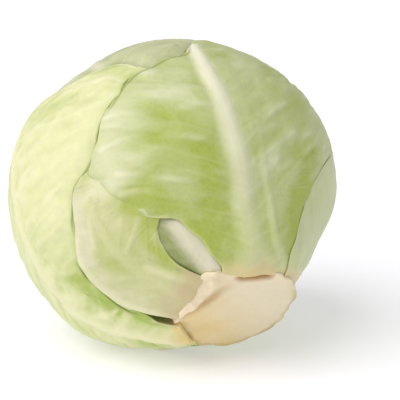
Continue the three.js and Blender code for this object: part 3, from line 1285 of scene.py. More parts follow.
    def depth(self, ways: np.ndarray) -> np.ndarray:
        """Finds how deep the leaf's outer face lies under the leaves above it.

        Args:
            ways: Unit directions from the head's centre, one a row.

        Returns:
            Depths below the head's surface, in mm.
        """
        deep = np.zeros(len(ways))
        for leaf in self.above:
            there = leaf.flatten(ways)
            room = leaf.gap * (1.0 - leaf.FLUSH_THINS * leaf.flush_part(there))
            deep += leaf.cover(ways) * (leaf.thickness(there) + room)
        for hollow in self.hollows:
            deep += hollow.depth * self.head.bump(ways, hollow)
        return deep

    def bare(self, ways: np.ndarray) -> np.ndarray:
        """Finds where no leaf lies over this one.

        Args:
            ways: Unit directions from the head's centre, one a row.

        Returns:
            1 in the open, falling to 0 under the others.
        """
        open_part = np.ones(len(ways))
        for leaf in self.above:
            open_part *= 1.0 - leaf.cover(ways)
        return open_part

    # -- ribs and veins --
    def trace(self) -> tuple[Tracing, Tracing, Tracing]:
        """Traces the ribs, veins and folds.

        Returns:
            Their heights in mm, how pale the ribs are, and how pale the veins are.
        """
        heights, pale, veins = Tracing(), Tracing(), Tracing()
        for ridge in (self.rib, *self.ridges):
            path = evenly_spaced(curve_through(ridge.path, closed=False))
            part = np.linspace(0.0, 1.0, len(path))
            wide = blend(ridge.half_width, part)
            heights.stroke(path, wide, blend(ridge.height, part))
            pale.stroke(path, wide * self.RIB_PALE_WIDER, blend(ridge.pale, part))
        for path, wide, high, clear in self._grow_veins():
            heights.stroke(path, wide, high)
            veins.stroke(path, wide * self.VEIN_PALE_NARROWER, clear)
        return heights, pale, veins

    def _grow_veins(self) -> list[tuple[np.ndarray, np.ndarray, np.ndarray, np.ndarray]]:
        """Grows side veins off the midrib, and branches off them.

        Returns:
            For each vein its path, half widths, heights and how clearly it shows.
        """
        rng = np.random.default_rng(self.seed + 500)
        rib = curve_through(self.rib.path, closed=False, steps=30)
        gone = distance_along(rib)
        plan = self.veining
        made = []
        for side in (-1, 1):
            start = rng.uniform(*plan.FIRST_AT) * plan.spacing
            while start < gone[-1]:
                i = min(int(np.searchsorted(gone, start)), len(rib) - 2)
                part = start / gone[-1]
                ahead = math.atan2(*(rib[i + 1] - rib[i])[::-1])
                leave = blend((plan.base_angle, plan.tip_angle), part)
                leave += rng.uniform(*plan.ANGLE_VARIES)
                heading = ahead - side * math.radians(leave)
                self._grow(made, rng, rib[i], heading, side, 1.0 - plan.WEAKER_AT_TIP * part, 0)
                start += plan.spacing * rng.uniform(*plan.SPACING_VARIES)
        return made

    def _grow(
        self, made: list, rng: np.random.Generator, start: np.ndarray, heading: float,
        side: int, strength: float, order: int,
    ) -> None:
        """Grows one vein until it fades or meets the margin.

        Args:
            made: The list that it and its branches are added to.
            rng: Where its unevenness comes from.
            start: Where it starts.
            heading: The way it starts in, in radians.
            side: -1 on the leaf's left, 1 on its right.
            strength: How strong it is where it starts.
            order: 0 for a side vein, 1 and 2 for its branches.
        """
        plan, step = self.veining, self.veining.STEP
        longest = plan.LONGEST[order] * rng.uniform(*plan.LENGTH_VARIES)
        bend = math.radians(plan.bend) * step * (1.0 if order == 0 else plan.BRANCH_BEND)
        path, here, wander = [start], np.array(start), 0.0
        next_branch = rng.uniform(*plan.FIRST_BRANCH)
        for i in range(int(longest / step)):
            wander = plan.WANDER_LASTS * wander + rng.normal(0, plan.WANDER)
            heading += side * bend
            way = heading + wander
            here = here + step * np.array([math.cos(way), math.sin(way)])
            if self.margin_distance(here[None])[0] < plan.MARGIN_CLEAR:
                break
            path.append(here)
            if order < len(plan.NEXT_BRANCH) and i * step > next_branch:
                next_branch += rng.uniform(*plan.NEXT_BRANCH[order])
                turn = 1 if rng.random() < 0.5 else -1
                fork = heading + turn * math.radians(rng.uniform(*plan.FORK))
                rest = strength * (1.0 - plan.WEAKER_OUTWARDS * i * step / longest)
                self._grow(made, rng, here, fork, side, rest * plan.BRANCH_STRENGTH, order + 1)
        if len(path) < plan.LEAST_STEPS:
            return
        line = np.array(path)
        part = np.linspace(0.0, 1.0, len(line))
        rest = strength * (1.0 - part) ** plan.FADES
        wide = plan.half_width * math.sqrt(strength) * (1.0 - plan.NARROWS * part)
        wide = np.maximum(wide, plan.LEAST_HALF)
        made.append((line, wide, plan.height * rest, plan.pale * rest))

    # -- the shell --
    def _wrinkles(self, places: np.ndarray) -> np.ndarray:
        """Reads the soft folds that run out from the midrib.

        Args:
            places: Flat places in mm, one a row.

        Returns:
            The fold at each place, between about -1 and 1.
        """
        rib = curve_through(self.rib.path, closed=False)
        side = places[:, 0] - np.interp(places[:, 1], rib[:, 1], rib[:, 0])
        out = np.abs(side)
        along = places[:, 1] - self.veining.lean * out + np.where(side > 0, self.OTHER_HALF, 0.0)
        bent = np.stack([out / self.FOLD_STRETCH, along], axis=1)
        folds = self.noise.layered(bent, *self.FOLDS, scale=self.fold_size)
        folds *= smooth_step(out, 0.0, self.FOLD_CLEAR)
        there = smooth_step(self.noise.layered(places, self.FOLD_AREAS), -0.5, 0.5)
        return folds * blend(self.FOLD_VARIES, there)

    def relief(self, places: np.ndarray, heights: Tracing) -> np.ndarray:
        """Finds how the outer face rises over the smooth shell.

        Args:
            places: Flat places in mm, one a row.
            heights: What is traced of its ribs and veins.

        Returns:
            Heights in mm.
        """
        soft = self.SOFT_PART * self.pucker * self.noise.layered(places, *self.SOFT)
        return heights.at(places) + soft + self.fold * self._wrinkles(places)

    def tones(
        self, places: np.ndarray, ways: np.ndarray, pale: Tracing, veins: Tracing
    ) -> dict[Tone, np.ndarray]:
        """Works out how strong every tone is.

        Args:
            places: Flat places, one a row.
            ways: Directions to them from the head's centre.
            pale: How pale the ribs are.
            veins: How pale the veins are.

        Returns:
            One array for each tone.
        """
        bends = [self.noise.layered(places, layer) for layer in self.BEND_LAYERS]
        bent = places + self.BEND * np.stack(bends, axis=1)
        folds = self._wrinkles(places)
        made = {tone: np.zeros(len(places)) for tone in Tone}
        made[Tone.GREEN] += self.base_green * (1.0 + self.noise.layered(bent, self.BLOTCHES))
        for patch in self.patches:
            made[patch.tone] += patch.at(bent)
        for stroke in self.strokes:
            made[stroke.tone] = np.maximum(made[stroke.tone], stroke.at(places))
        made[Tone.GREEN] *= 1.0 - self.FOLD_FADES_GREEN * folds
        made[Tone.GREEN] -= self.streak * folds
        made[Tone.PALE] = np.maximum(made[Tone.PALE], pale.at(places))
        made[Tone.VEIN] = np.maximum(made[Tone.VEIN], veins.at(places))
        crests = np.clip(folds - self.FOLD_PALE_FROM, 0.0, 1.0)
        made[Tone.VEIN] += self.FOLD_PALE * self.streak * crests

        # Towards the stalk the leaf is as pale and tan as the stalk itself.
        beside = self.head.beside_stalk(ways) + self.noise.layered(places, self.TAN_UNEVEN)
        tan, reach = self.base_tan
        made[Tone.TAN] += tan * (1.0 - smooth_step(beside, self.TAN_FROM, reach))

        # The margin is a thin line, partly a painted highlight; on the leaf beneath, beside each
        # covering margin, go a darker line of painted shade and a greener band, partly its own
        # greener tissue and partly painted shade.
        uneven = self.MEAN_LINE + self.noise.layered(places, self.EDGE_UNEVEN)
        inside = self.margin_distance(places)
        margin = 1.0 - smooth_step(inside, self.EDGE_FROM, self.edge_width)
        made[Tone.EDGE] += self.edge_line * uneven * margin
        uneven = self.MEAN_LINE + self.noise.layered(places, self.SEAM_UNEVEN)
        uneven = uneven.clip(self.THINNEST_SEAM)
        for leaf in self.above:
            there = leaf.flatten(ways)
            outside = -leaf.margin_distance(there)
            near = 1.0 - smooth_step(outside / (leaf.seam_width * uneven), *self.SEAM_FADES)
            line = leaf.seam_line * (1.0 - leaf.flush_part(there))
            made[Tone.SEAM] = np.maximum(made[Tone.SEAM], line * near)
            greener = 1.0 - smooth_step(outside, *self.SEAM_GREEN_FADES)
            made[Tone.GREEN] += self.SEAM_GREEN * line * greener
        # Painted shade darkens the leaves inside a hollow towards olive.
        for hollow in self.hollows:
            made[Tone.SEAM] += hollow.shade * self.head.bump(ways, hollow)
        return made

    def _shell(self) -> bpy.types.Mesh:
        """Makes the shell as a square sheet with its underside folded back beneath it.

        Returns:
            A mesh whose x and y are places on the square, and whose z counts inner rings.
        """
        bm = bmesh.new()
        bmesh.ops.create_grid(bm, x_segments=self.segments, y_segments=self.segments, size=1.0)
        rim = [edge for edge in bm.edges if edge.is_boundary]
        for _ in self.INNER_RINGS:
            made = bmesh.ops.extrude_edge_only(bm, edges=rim)["geom"]
            corners = [part for part in made if isinstance(part, bmesh.types.BMVert)]
            bmesh.ops.translate(bm, verts=corners, vec=(0.0, 0.0, -1.0))
            rim = [part for part in made
                   if isinstance(part, bmesh.types.BMEdge) and part.is_boundary]
        bmesh.ops.pointmerge(bm, verts=corners, merge_co=(0.0, 0.0, -float(len(self.INNER_RINGS))))
        bmesh.ops.recalc_face_normals(bm, faces=bm.faces)
        return mesh_from(bm, self.name + "_blade")

    def _lay_out(self, mesh: bpy.types.Mesh) -> tuple[np.ndarray, np.ndarray]:
        """Fits the square sheet to the leaf's outline: first to a disc without a pole.

        Args:
            mesh: The shell as it was first made.

        Returns:
            Each vertex's flat place in mm, and whether it is one of the underside's.
        """
        u, v, ring = read_corners(mesh).T
        ring = np.rint(-ring).astype(int)
        wide = np.abs(u) >= np.abs(v)
        reach = np.where(wide, np.abs(u), np.abs(v))
        near = np.where(wide, v / np.where(wide, u + (u == 0), 1), u / np.where(wide, 1, v))
        bearing = np.where(
            wide, near * math.pi / 4 + np.where(u < 0, math.pi, 0),
            math.pi / 2 - near * math.pi / 4 + np.where(v < 0, math.pi, 0),
        )
        reach = reach * (1 + self.CROWD) - self.CROWD * reach ** self.CROWD_POWER
        reach *= np.array([1.0, *self.INNER_RINGS])[ring]
        limit = np.interp(
            (bearing + math.pi) % (2 * math.pi) - math.pi, self.bearings, self.reach,
            period=2 * math.pi,
        )
        rays = np.stack([np.cos(bearing), np.sin(bearing)], axis=1)
        return (reach * limit)[:, None] * rays, ring > 0

    def build(self) -> bpy.types.Object:
        """Makes the leaf's piece.

        Returns:
            The finished object.
        """
        mesh = self._shell()
        places, inner = self._lay_out(mesh)
        heights, pale, veins = self.trace()
        ways = self.drape(places)
        thick = self.thickness(places)
        edge = np.clip(1.0 - self.margin_distance(places) / self.EDGE_ROUND, 0.0, 1.0)
        roll = self.EDGE_ROLL * thick * (1.0 - np.sqrt(np.maximum(1.0 - edge * edge, 0.0)))
        lift = self.relief(places, heights) * self.bare(ways)
        beneath = np.minimum(lift, 0.0) + self.INNER_LIFT * lift.clip(0)
        radius = self.head.surface(ways, self.depth(ways) + np.where(inner, thick, 0.0))
        radius += np.where(inner, beneath, lift - roll)
        world = self.head.to_world(ways * radius[:, None])
        world[:, 2] = np.maximum(world[:, 2], 0.0)
        mesh.vertices.foreach_set("co", world.ravel())

        which = np.empty(len(mesh.loops), dtype=np.int32)
        mesh.loops.foreach_get("vertex_index", which)
        layer = mesh.uv_layers.new(name=UV_NAME)
        layer.data.foreach_set("uv", (places[which] * MM).ravel())
        write_tones(mesh, self.tones(places, ways, pale, veins))
        return finish_piece(mesh, self.name, self.finish.build())


def finish_piece(
    mesh: bpy.types.Mesh, name: str, material: bpy.types.Material
) -> bpy.types.Object:
    """Makes a mesh a smooth dressed piece that rides on the frame.

    Args:
        mesh: The mesh, in metres in the row frame.
        name: The name of the CAD node that it stands for.
        material: Its finish.

    Returns:
        The object.
    """
    mesh.polygons.foreach_set("use_smooth", [True] * len(mesh.polygons))
    mesh.update()
    mesh.materials.append(material)
    piece = add_object(name + "_skin", mesh)
    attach(piece, BODY)
    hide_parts(name)
    log.info("%s: %d faces", name, len(mesh.polygons))
    return piece


# ---- the stalk ----
@dataclass(frozen=True)
class Cut:
    """A line sunk into the stalk's face, widest and deepest in its middle.

    Attributes:
        path: A few places that it passes through, left and up on the face, in mm.
        half_width: Half its width in its middle, in mm.
        depth: Its depth there, in mm.
    """

    path: tuple[Place, ...]
    half_width: float
    depth: float


@dataclass
class Stalk:
    """The cut stalk: a broad sawn face that narrows into the core inside the head.

    Attributes:
        head: The head's shape.
        cut_distance: From the head's centre to the middle of the face, in mm.
        cut_tilt: Degrees the knife leaned from square.
        cut_turn: Which way the face leans, in degrees about the axis.
        core_tip: The core's inner end along the axis, in mm.
        rim_round: Radius of the rounded rim, in mm.
        face_rings: Mesh rings across the face.
        sides: Mesh sections around it.
        seed: Seed of its unevenness.
    """

    head: HeadShape
    cut_distance: float = 75.0
    cut_tilt: float = 9.4
    cut_turn: float = 128.0
    core_tip: float = -18.0
    rim_round: float = 1.1
    face_rings: int = 44
    sides: int = 240
    seed: int = 91

    NAME = "stalk"
    STUBS: tuple[tuple[Place, ...], ...] = (
        ((29, -9), (30, -4), (29.6, 1)),
        ((29.6, 0), (28.5, 5), (26, 9.5), (24, 13)),
        ((26, 12), (24, 16), (23.5, 20), (23.5, 25)),
        ((21, 17), (21, 23), (21, 29)),
    )
    STUB_HALF = (3.4, 5.4)
    STUB_HEIGHT = (1.0, 2.2)
    STUB_ENDS = 0.35
    CUT_ENDS = 0.1
    # The split along the top, and the groove beside the stubs, whose brown is painted shade.
    CUTS: tuple[Cut, ...] = (
        Cut(((9, 25.4), (7, 26.6), (4.4, 28.3), (2, 29.2), (-0.5, 29.4), (-3, 29.1), (-6, 28),
             (-8, 26.6)), 4.8, 2.8),
        Cut(((27, -9), (26.5, -4), (25, 1), (22, 5), (18, 10), (16, 14), (13.5, 18),
             (10, 21.5)), 4.6, 0.8),
    )
    DIPS: tuple[Tab, ...] = (Tab(38, 19, -4.6), Tab(106, 14, -1.8))
    DIPS_FROM = 0.68

    # Below the rim: parts of the face's radius, and of its distance or of the core's end.
    SIDE = ((1.0, 0.94), (1.0, 0.88), (0.85, 0.74), (0.56, 0.5), (0.34, 0.2))
    CORE = ((0.2, 0.6), (0.0, 1.0))
    RIM_STEPS = 5

    # How its face starts below the rim, is uneven and leans: mm, degrees or parts of a size.
    FACE_FROM = 0.9
    FACE_FULL_WITHIN = 0.5
    FACE_UNEVEN = (Layer(0.55, 11.0), Layer(0.22, 4.5, 30.0))
    STUB_UNEVEN = Layer(0.5, 2.6)
    RIM_UNEVEN = Layer(0.03, 9.0)
    RIM_FROM = 0.6
    LEANS_FROM = (40.0, 70.0)
    TOP_SIDE = (10.0, 40.0)
    TOP_SINKS = 0.5
    TOP_SINKS_WITHIN = 5.0

    # Its tones: which way on the face, left and up, the dried part and the rind lie.
    WARM_WAY = (1.0, -0.8)
    WARM_SIDE = (-18.0, 30.0)
    RIND_WAY = (-0.4, -1.0)
    RIND_SIDE = (-26.0, 20.0)
    RIND_WITHIN = (4.6, 0.8)
    RIND_UNEVEN = Layer(0.5, 6.0, 60.0)
    MEAN_RIND = 0.8
    TORN_WITHIN = (9.0, 1.0)
    TORN_RIM = 0.8
    TORN_FULL = 1.2
    CRACK_FULL = 1.3

    @property
    def radius(self) -> float:
        """Radius of the cut face, in mm."""
        return self.head.stalk_radius

    def profile(self) -> list[Place]:
        """Draws half of the section, from the face inwards.

        Returns:
            Radius and height along the axis of each corner, in mm.
        """
        top = self.cut_distance
        face = [
            (self.radius - self.rim_round) * i / self.face_rings
            for i in range(self.face_rings + 1)
        ]
        rim = [
            (self.radius - self.rim_round * (1 - math.sin(a)),
             top - self.rim_round * (1 - math.cos(a)))
            for a in np.linspace(0.0, math.pi / 2, self.RIM_STEPS + 1)[1:]
        ]
        side = [(self.radius * wide, top * high) for wide, high in self.SIDE]
        core = [(self.radius * wide, self.core_tip * high) for wide, high in self.CORE]
        return [(r, top) for r in face] + rim + side + core

    def _body(self) -> bpy.types.Mesh:
        """Spins the section about the axis.

        Returns:
            A mesh in mm whose x, y and z run left, up and along the axis.
        """
        bm = bmesh.new()
        corners = [bm.verts.new((r, 0.0, z)) for r, z in self.profile()]
        edges = [bm.edges.new(pair) for pair in zip(corners, corners[1:])]
        bmesh.ops.spin(
            bm, geom=corners + edges, cent=(0, 0, 0), axis=(0, 0, 1), angle=2 * math.pi,
            steps=self.sides, use_merge=True, use_duplicate=False,
        )
        bmesh.ops.remove_doubles(bm, verts=bm.verts, dist=1e-4)
        bmesh.ops.recalc_face_normals(bm, faces=bm.faces)
        return mesh_from(bm, self.NAME + "_body")

    def _trace(self) -> tuple[Tracing, Tracing]:
        """Traces what stands on the face and what is sunk into it.

        Returns:
            Heights of the torn stubs, and depths of the split and the groove, in mm.
        """
        stubs, cuts = Tracing(), Tracing()
        for stub in self.STUBS:
            path = curve_through(stub, closed=False)
            swell = np.sin(np.linspace(self.STUB_ENDS, math.pi - self.STUB_ENDS, len(path)))
            stubs.stroke(path, blend(self.STUB_HALF, swell), blend(self.STUB_HEIGHT, swell))
        for cut in self.CUTS:
            path = curve_through(cut.path, closed=False)
            swell = np.sin(np.linspace(self.CUT_ENDS, math.pi - self.CUT_ENDS, len(path)))
            half = blend((0.5 * cut.half_width, cut.half_width), swell)
            cuts.stroke(path, half, cut.depth * swell)
        return stubs, cuts

    def build(self) -> bpy.types.Object:
        """Makes the stalk's piece.

        Returns:
            The finished object.
        """
        mesh = self._body()
        left, top, along = read_corners(mesh).T
        away = np.hypot(left, top)
        noise = SoftNoise(self.seed)
        on_face = smooth_step(
            along, self.cut_distance * self.FACE_FROM, self.cut_distance - self.FACE_FULL_WITHIN
        )

        # Towards the top and left the face runs out into the torn leaf bases.
        bearing = np.degrees(np.arctan2(left, top))
        torn_side = self.head.torn_side(bearing)
        around = np.stack([bearing, np.zeros(len(bearing))], axis=1)
        near_rim = smooth_step(away, self.RIM_FROM * self.radius, self.radius)
        grow = 1.0 + near_rim * on_face * (
            self.head.rim_reach(bearing) / self.radius + noise.layered(around, self.RIM_UNEVEN)
        )
        left = left * grow + self.head.stalk_shift[0]
        top = top * grow + self.head.stalk_shift[1]
        spots = np.stack([left, top], axis=1)

        # The face leans, and it is neither flat nor whole.
        tilt = math.tan(math.radians(self.cut_tilt))
        turn = math.radians(self.cut_turn)
        lean = tilt * (left * math.sin(turn) + top * math.cos(turn))
        torn, split = (tracing.at(spots) for tracing in self._trace())
        rise = noise.layered(spots, *self.FACE_UNEVEN) - split
        rise += torn * (1.0 + noise.layered(spots, self.STUB_UNEVEN))
        top_side = torn_side * (1.0 - smooth_step(bearing, *self.TOP_SIDE))
        sinking = smooth_step(away, self.radius - self.TOP_SINKS_WITHIN, self.radius)
        rise -= self.TOP_SINKS * top_side * sinking
        dips = sum(dip.at(bearing) for dip in self.DIPS)
        rise += dips * smooth_step(away, self.DIPS_FROM * self.radius, self.radius)
        along = along - lean * smooth_step(along, *self.LEANS_FROM) + on_face * rise
        local = (
            left[:, None] * self.head.left_way + top[:, None] * self.head.top_way
            + along[:, None] * self.head.stalk_axis
        )
        mesh.vertices.foreach_set("co", self.head.to_world(local).ravel())

        rim, soft_rim = (
            smooth_step(away, self.radius - outer, self.radius - inner)
            for outer, inner in (self.RIND_WITHIN, self.TORN_WITHIN)
        )
        low_side = smooth_step(spots @ self.RIND_WAY, *self.RIND_SIDE)
        rind = self.MEAN_RIND + noise.layered(spots, self.RIND_UNEVEN)
        # The split's brown is partly its own dried colour and partly painted shade; the groove's
        # brown is painted shade.
        write_tones(mesh, {
            Tone.CREAM: smooth_step(spots @ self.WARM_WAY, *self.WARM_SIDE),
            Tone.GREEN: rim * low_side * rind,
            Tone.PALE: np.maximum(torn / self.TORN_FULL, self.TORN_RIM * torn_side * soft_rim),
            Tone.TAN: split / self.CRACK_FULL,
        })
        if self._inside_out(mesh):
            mesh.flip_normals()
        return finish_piece(mesh, self.NAME, StalkFinish().build())

    def _inside_out(self, mesh: bpy.types.Mesh) -> bool:
        """Whether a closed mesh's faces point inwards."""
        return sum(face.center.dot(face.normal) * face.area for face in mesh.polygons) < 0


# ---- the heart ----
@dataclass
class Heart:
    """The tightly folded inner leaves, seen only through chinks.

    Attributes:
        head: The head's shape.
        above: The leaves around it, outermost first.
        finish: Its finish.
        subdivisions: How finely its ball is divided.
        core_end: Where it is flat under the stalk's face, along the axis in mm.
    """

    head: HeadShape
    above: list[Leaf]
    finish: LeafFinish
    subdivisions: int = 5
    core_end: float = 52.0

    NAME = "heart"
    CORE_SIDE = 0.9

    def build(self) -> bpy.types.Object:
        """Makes the heart's piece.

        Returns:
            The finished object.
        """
        bm = bmesh.new()
        bmesh.ops.create_icosphere(bm, subdivisions=self.subdivisions, radius=1.0)
        mesh = mesh_from(bm, self.NAME + "_body")
        ways = read_corners(mesh)
        ways /= np.linalg.norm(ways, axis=1)[:, None]
        last = self.above[-1]
        core = Leaf(
            self.NAME, last.slot, self.finish, last.angle, last.turn, last.outline, last.rib
        )
        core.place(self.head, self.above, last.hollows)
        radius = self.head.surface(ways, core.depth(ways) + core.gap)
        along = ways @ self.head.stalk_axis
        flat = np.minimum(radius, self.core_end / np.maximum(along, self.CORE_SIDE))
        radius = np.where(along > self.CORE_SIDE, flat, radius)
        mesh.vertices.foreach_set("co", self.head.to_world(ways * radius[:, None]).ravel())
        write_tones(mesh, {})
        mesh.uv_layers.new(name=UV_NAME)
        return finish_piece(mesh, self.NAME, self.finish.build())


# ---- the cabbage ----
GREEN, CREAM, PALE, TAN = Tone.GREEN, Tone.CREAM, Tone.PALE, Tone.TAN
EDGE, SEAM = Tone.EDGE, Tone.SEAM
NO_TAN = (0.0, 1.0)

FRONT_FINISH = LeafFinish(
    "front leaf, half greened", blade="#c5cc9b", green="#a7b44e", cream="#dddcb8",
    rib="#f0ecd6", edge="#cfd68c", tan="#d6c592",
)
# Its near-white margin colour is a painted highlight along the margin.
LEFT_FINISH = LeafFinish(
    "left leaf, bleached yellow", blade="#dddfac", green="#a9bb5c", cream="#e4e1b4",
    rib="#e8e4be", edge="#f8f5d6", seam_shade="#72801a", tan="#e0cc8e",
)
LOWER_LEFT_FINISH = LeafFinish(
    "lower left leaf, near white", blade="#c9cb98", green="#aeb95a", cream="#dbd7b8",
    rib="#e6e2bf", edge="#ece8c4", seam_shade="#97a14c", tan="#cabb8f",
)
RIGHT_FINISH = LeafFinish(
    "right leaf, grey green", blade="#c9cd9c", green="#b5c07c", cream="#e4e0c4",
    rib="#d6d6b8", edge="#cdd0a4",
)
BACK_FINISH = LeafFinish(
    "back leaf, greener", blade="#c9d29a", green="#a2b45c", cream="#dedcb4", rib="#dbdab4",
)
INNER_FINISH = LeafFinish(
    "inner leaf, pale", blade="#d2d5ae", green="#949d5e", cream="#e6e0c4", rib="#e0dac2",
    edge="#dcdcae", seam_shade="#6c7738",
)
HEART_FINISH = LeafFinish(
    "folded heart leaves", blade="#e2e2b8", green="#c8cf94", cream="#ecead0", rib="#ecead0",
)


def right_wrapper_leaf() -> Leaf:
    """The outermost leaf, which makes the head's right edge."""
    return Leaf(
        "right_wrapper_leaf", "right_leaf", RIGHT_FINISH, 82, -84,
        ((6, 68), (34, 70), (60, 56), (78, 26), (78, -6), (66, -36), (44, -62), (18, -82),
         (2, -94), (-20, -98), (-34, -93), (-44, -88), (-48, -80), (-52, -71), (-54, -61),
         (-55, -50), (-54, -40), (-50, -30), (-41, -16), (-33, 2), (-31, 22), (-20, 46)),
        Ridge(((-14, -100), (-17, -80), (-17, -60), (-15, -40), (-14, -10), (-8, 24), (4, 60)),
              (11, 3), (1.6, 0.5), (0.3, 0.4)),
        rib_at=-18,
        patches=(
            Patch(GREEN, 48, 4, 16, 44, 0.7, 8), Patch(GREEN, 20, -20, 12, 40, 0.4, 10),
            Patch(GREEN, 22, 46, 26, 14, 0.4), Patch(CREAM, 34, -44, 10, 20, 0.5, 20),
        ),
        flush=(Patch(EDGE, -52, -56, 16, 46, 1.5), Patch(EDGE, -34, 4, 14, 40, 1.3, -12)),
        base_green=0.1, pucker=0.5, fold=0.35, streak=0.14, edge_line=0.25, seam_line=0.6,
        segments=190, seed=11,
    )


def front_wrapper_leaf() -> Leaf:
    """The big half-green leaf in front, with the cream midrib and the small curl."""
    return Leaf(
        "front_wrapper_leaf", "front_leaf", FRONT_FINISH, 66, 8,
        ((12, 65), (18, 72), (30, 78), (50, 74), (72, 54), (86, 24), (86, -4), (74, -26),
         (54, -44), (38, -58), (28, -68), (4, -72), (-14, -66), (-15, -57), (-18, -52),
         (-21, -46), (-24, -40), (-28, -35), (-31, -30), (-35, -27), (-41, -25), (-47, -22),
         (-49, -20), (-51, -16), (-54, -13), (-57, -9), (-60, -5), (-62, -1), (-65, 4),
         (-67.5, 9), (-65, 13), (-61.5, 18), (-57.5, 23), (-55, 28), (-51.5, 33),
         (-47.5, 37), (-42, 41), (-38, 43), (-34, 48), (-29, 51.5), (-21, 52.5), (-10, 55.5),
         (-3, 56), (2, 57), (7, 61)),
        Ridge(((-1, -76), (-1, -60), (1, -51), (2, -42), (2, -32), (3, -22), (4, -10),
               (4, 4), (5, 17), (6, 28), (6, 38), (8, 49), (10, 58), (12, 64)),
              (10.0, 5.0), (1.7, 0.8), (0.1, 1.1)),
        ridges=(
            Ridge(((21, -66), (18, -57), (15, -49), (15, -40), (17, -30), (17, -18),
                   (18, -6), (22, 12)), (4.0, 3.0), (1.3, 0.1), (0.25, 0.0)),
            Ridge(((26, -16), (36, -14), (48, -17)), (2.4, 2.0), (0.35, 0.1), (0.14, 0.0)),
            Ridge(((20, 3), (33, 5), (50, 2)), (2.4, 2.0), (0.35, 0.1), (0.12, 0.0)),
            Ridge(((-54, 2), (-45, -1), (-36, 1)), (2.6, 2.0), (0.4, 0.1), (0.3, 0.05)),
            Ridge(((-50, 33), (-41, 31), (-32, 26)), (2.4, 2.0), (0.5, 0.1), (0.5, 0.1)),
            Ridge(((-30, 23), (-35, 20), (-42, 16)), (1.8, 1.6), (-0.6, -0.2), (0.0, 0.0)),
            Ridge(((-57, 17), (-45, 18), (-34, 15)), (2.6, 2.0), (0.5, 0.1), (0.35, 0.05)),
            Ridge(((-55, -8), (-46, -9), (-36, -14)), (2.6, 2.0), (0.5, 0.1), (0.3, 0.05)),
        ),
        patches=(
            Patch(GREEN, -12, -16, 12, 34, 0.7, -3), Patch(GREEN, -22, 18, 11, 16, 0.1, -20),
            Patch(GREEN, -22, -38, 5, 16, 0.6, -35), Patch(GREEN, -34, 6, 9, 12, 0.2),
            Patch(GREEN, -50, -11, 11, 7, 0.45, -40), Patch(GREEN, -40, -18, 12, 7, 0.55, 30),
            Patch(GREEN, 28, -49, 6, 13, 1.1, 25), Patch(GREEN, 38, -38, 8, 16, 0.9, 32),
            Patch(GREEN, 48, -24, 8, 15, 0.6, 35), Patch(GREEN, 60, -6, 10, 16, 0.05, 30),
            Patch(GREEN, 46, 4, 14, 18, 0.1), Patch(GREEN, 36, 40, 24, 16, -0.1),
            Patch(TAN, 5, -63, 9, 6, 0.7, 10), Patch(GREEN, 8, -58, 12, 8, -0.3),
            Patch(GREEN, 6, -46, 16, 14, 0.4), Patch(GREEN, -38, 8, 12, 14, 0.25),
            Patch(GREEN, -12, 42, 14, 12, -0.25),
            Patch(CREAM, -60, 4, 9, 12, 0.8), Patch(CREAM, -52, 22, 9, 14, 0.45),
            Patch(CREAM, -22, 42, 16, 9, 0.2), Patch(CREAM, -40, 36, 10, 7, 0.4),
        ),
        strokes=(
            # An olive line along its top margin, in the colour of the painted shade.
            Stroke(SEAM, ((11, 65.5), (5, 56.5), (-2, 55), (-10, 54.5), (-20, 51.5),
                          (-28, 50.5), (-34, 46.5), (-41, 40.5), (-50, 33.5)), 1.1, 0.7),
            Stroke(PALE, ((-53, -15), (-50.5, -17.5), (-48, -18.5), (-46.5, -22)), 0.9, 0.5),
            Stroke(GREEN, ((-53, -11), (-48, -15), (-44, -18), (-43, -23)), 1.8, 0.8),
            Stroke(CREAM, ((-48, -22.5), (-42, -24), (-36, -25)), 1.2, 0.4),
            Stroke(TAN, ((-2, -64), (2, -63), (6, -63), (10, -66)), 1.6, 0.5),
        ),
        flush=(
            Patch(EDGE, -58, -7, 6, 14, 2.0, -33), Patch(EDGE, -50, -17, 6, 10, 1.6, -30),
            Patch(EDGE, -24, -42, 7, 18, 1.2, -32), Patch(EDGE, 20, -66, 6, 8, 1.4),
        ),
        veining=Veining(base_angle=70, tip_angle=62, bend=0.12, pale=0.16, height=0.3,
                        half_width=2.0, lean=0.38),
        base_green=0.3, streak=0.17, edge_line=0.5, seam_line=1.0, seam_width=1.1,
        pucker=0.6, fold=0.55,
        segments=244, seed=12,
    )


def underside_wrapper_leaf() -> Leaf:
    """The leaf that the head rests on."""
    return Leaf(
        "underside_wrapper_leaf", "back_leaf", BACK_FINISH, 88, -163,
        ((0, 76), (34, 72), (60, 50), (70, 18), (57, -14), (40, -42), (24, -62), (10, -80),
         (0, -96), (-8, -100), (-18, -96), (-34, -72), (-54, -40), (-66, -6), (-62, 30),
         (-40, 60), (-18, 76)),
        Ridge(((0, -104), (0, -60), (1, -20), (-1, 20), (2, 70)), (10, 2.6), (1.8, 0.5)),
        segments=150, seed=13,
    )


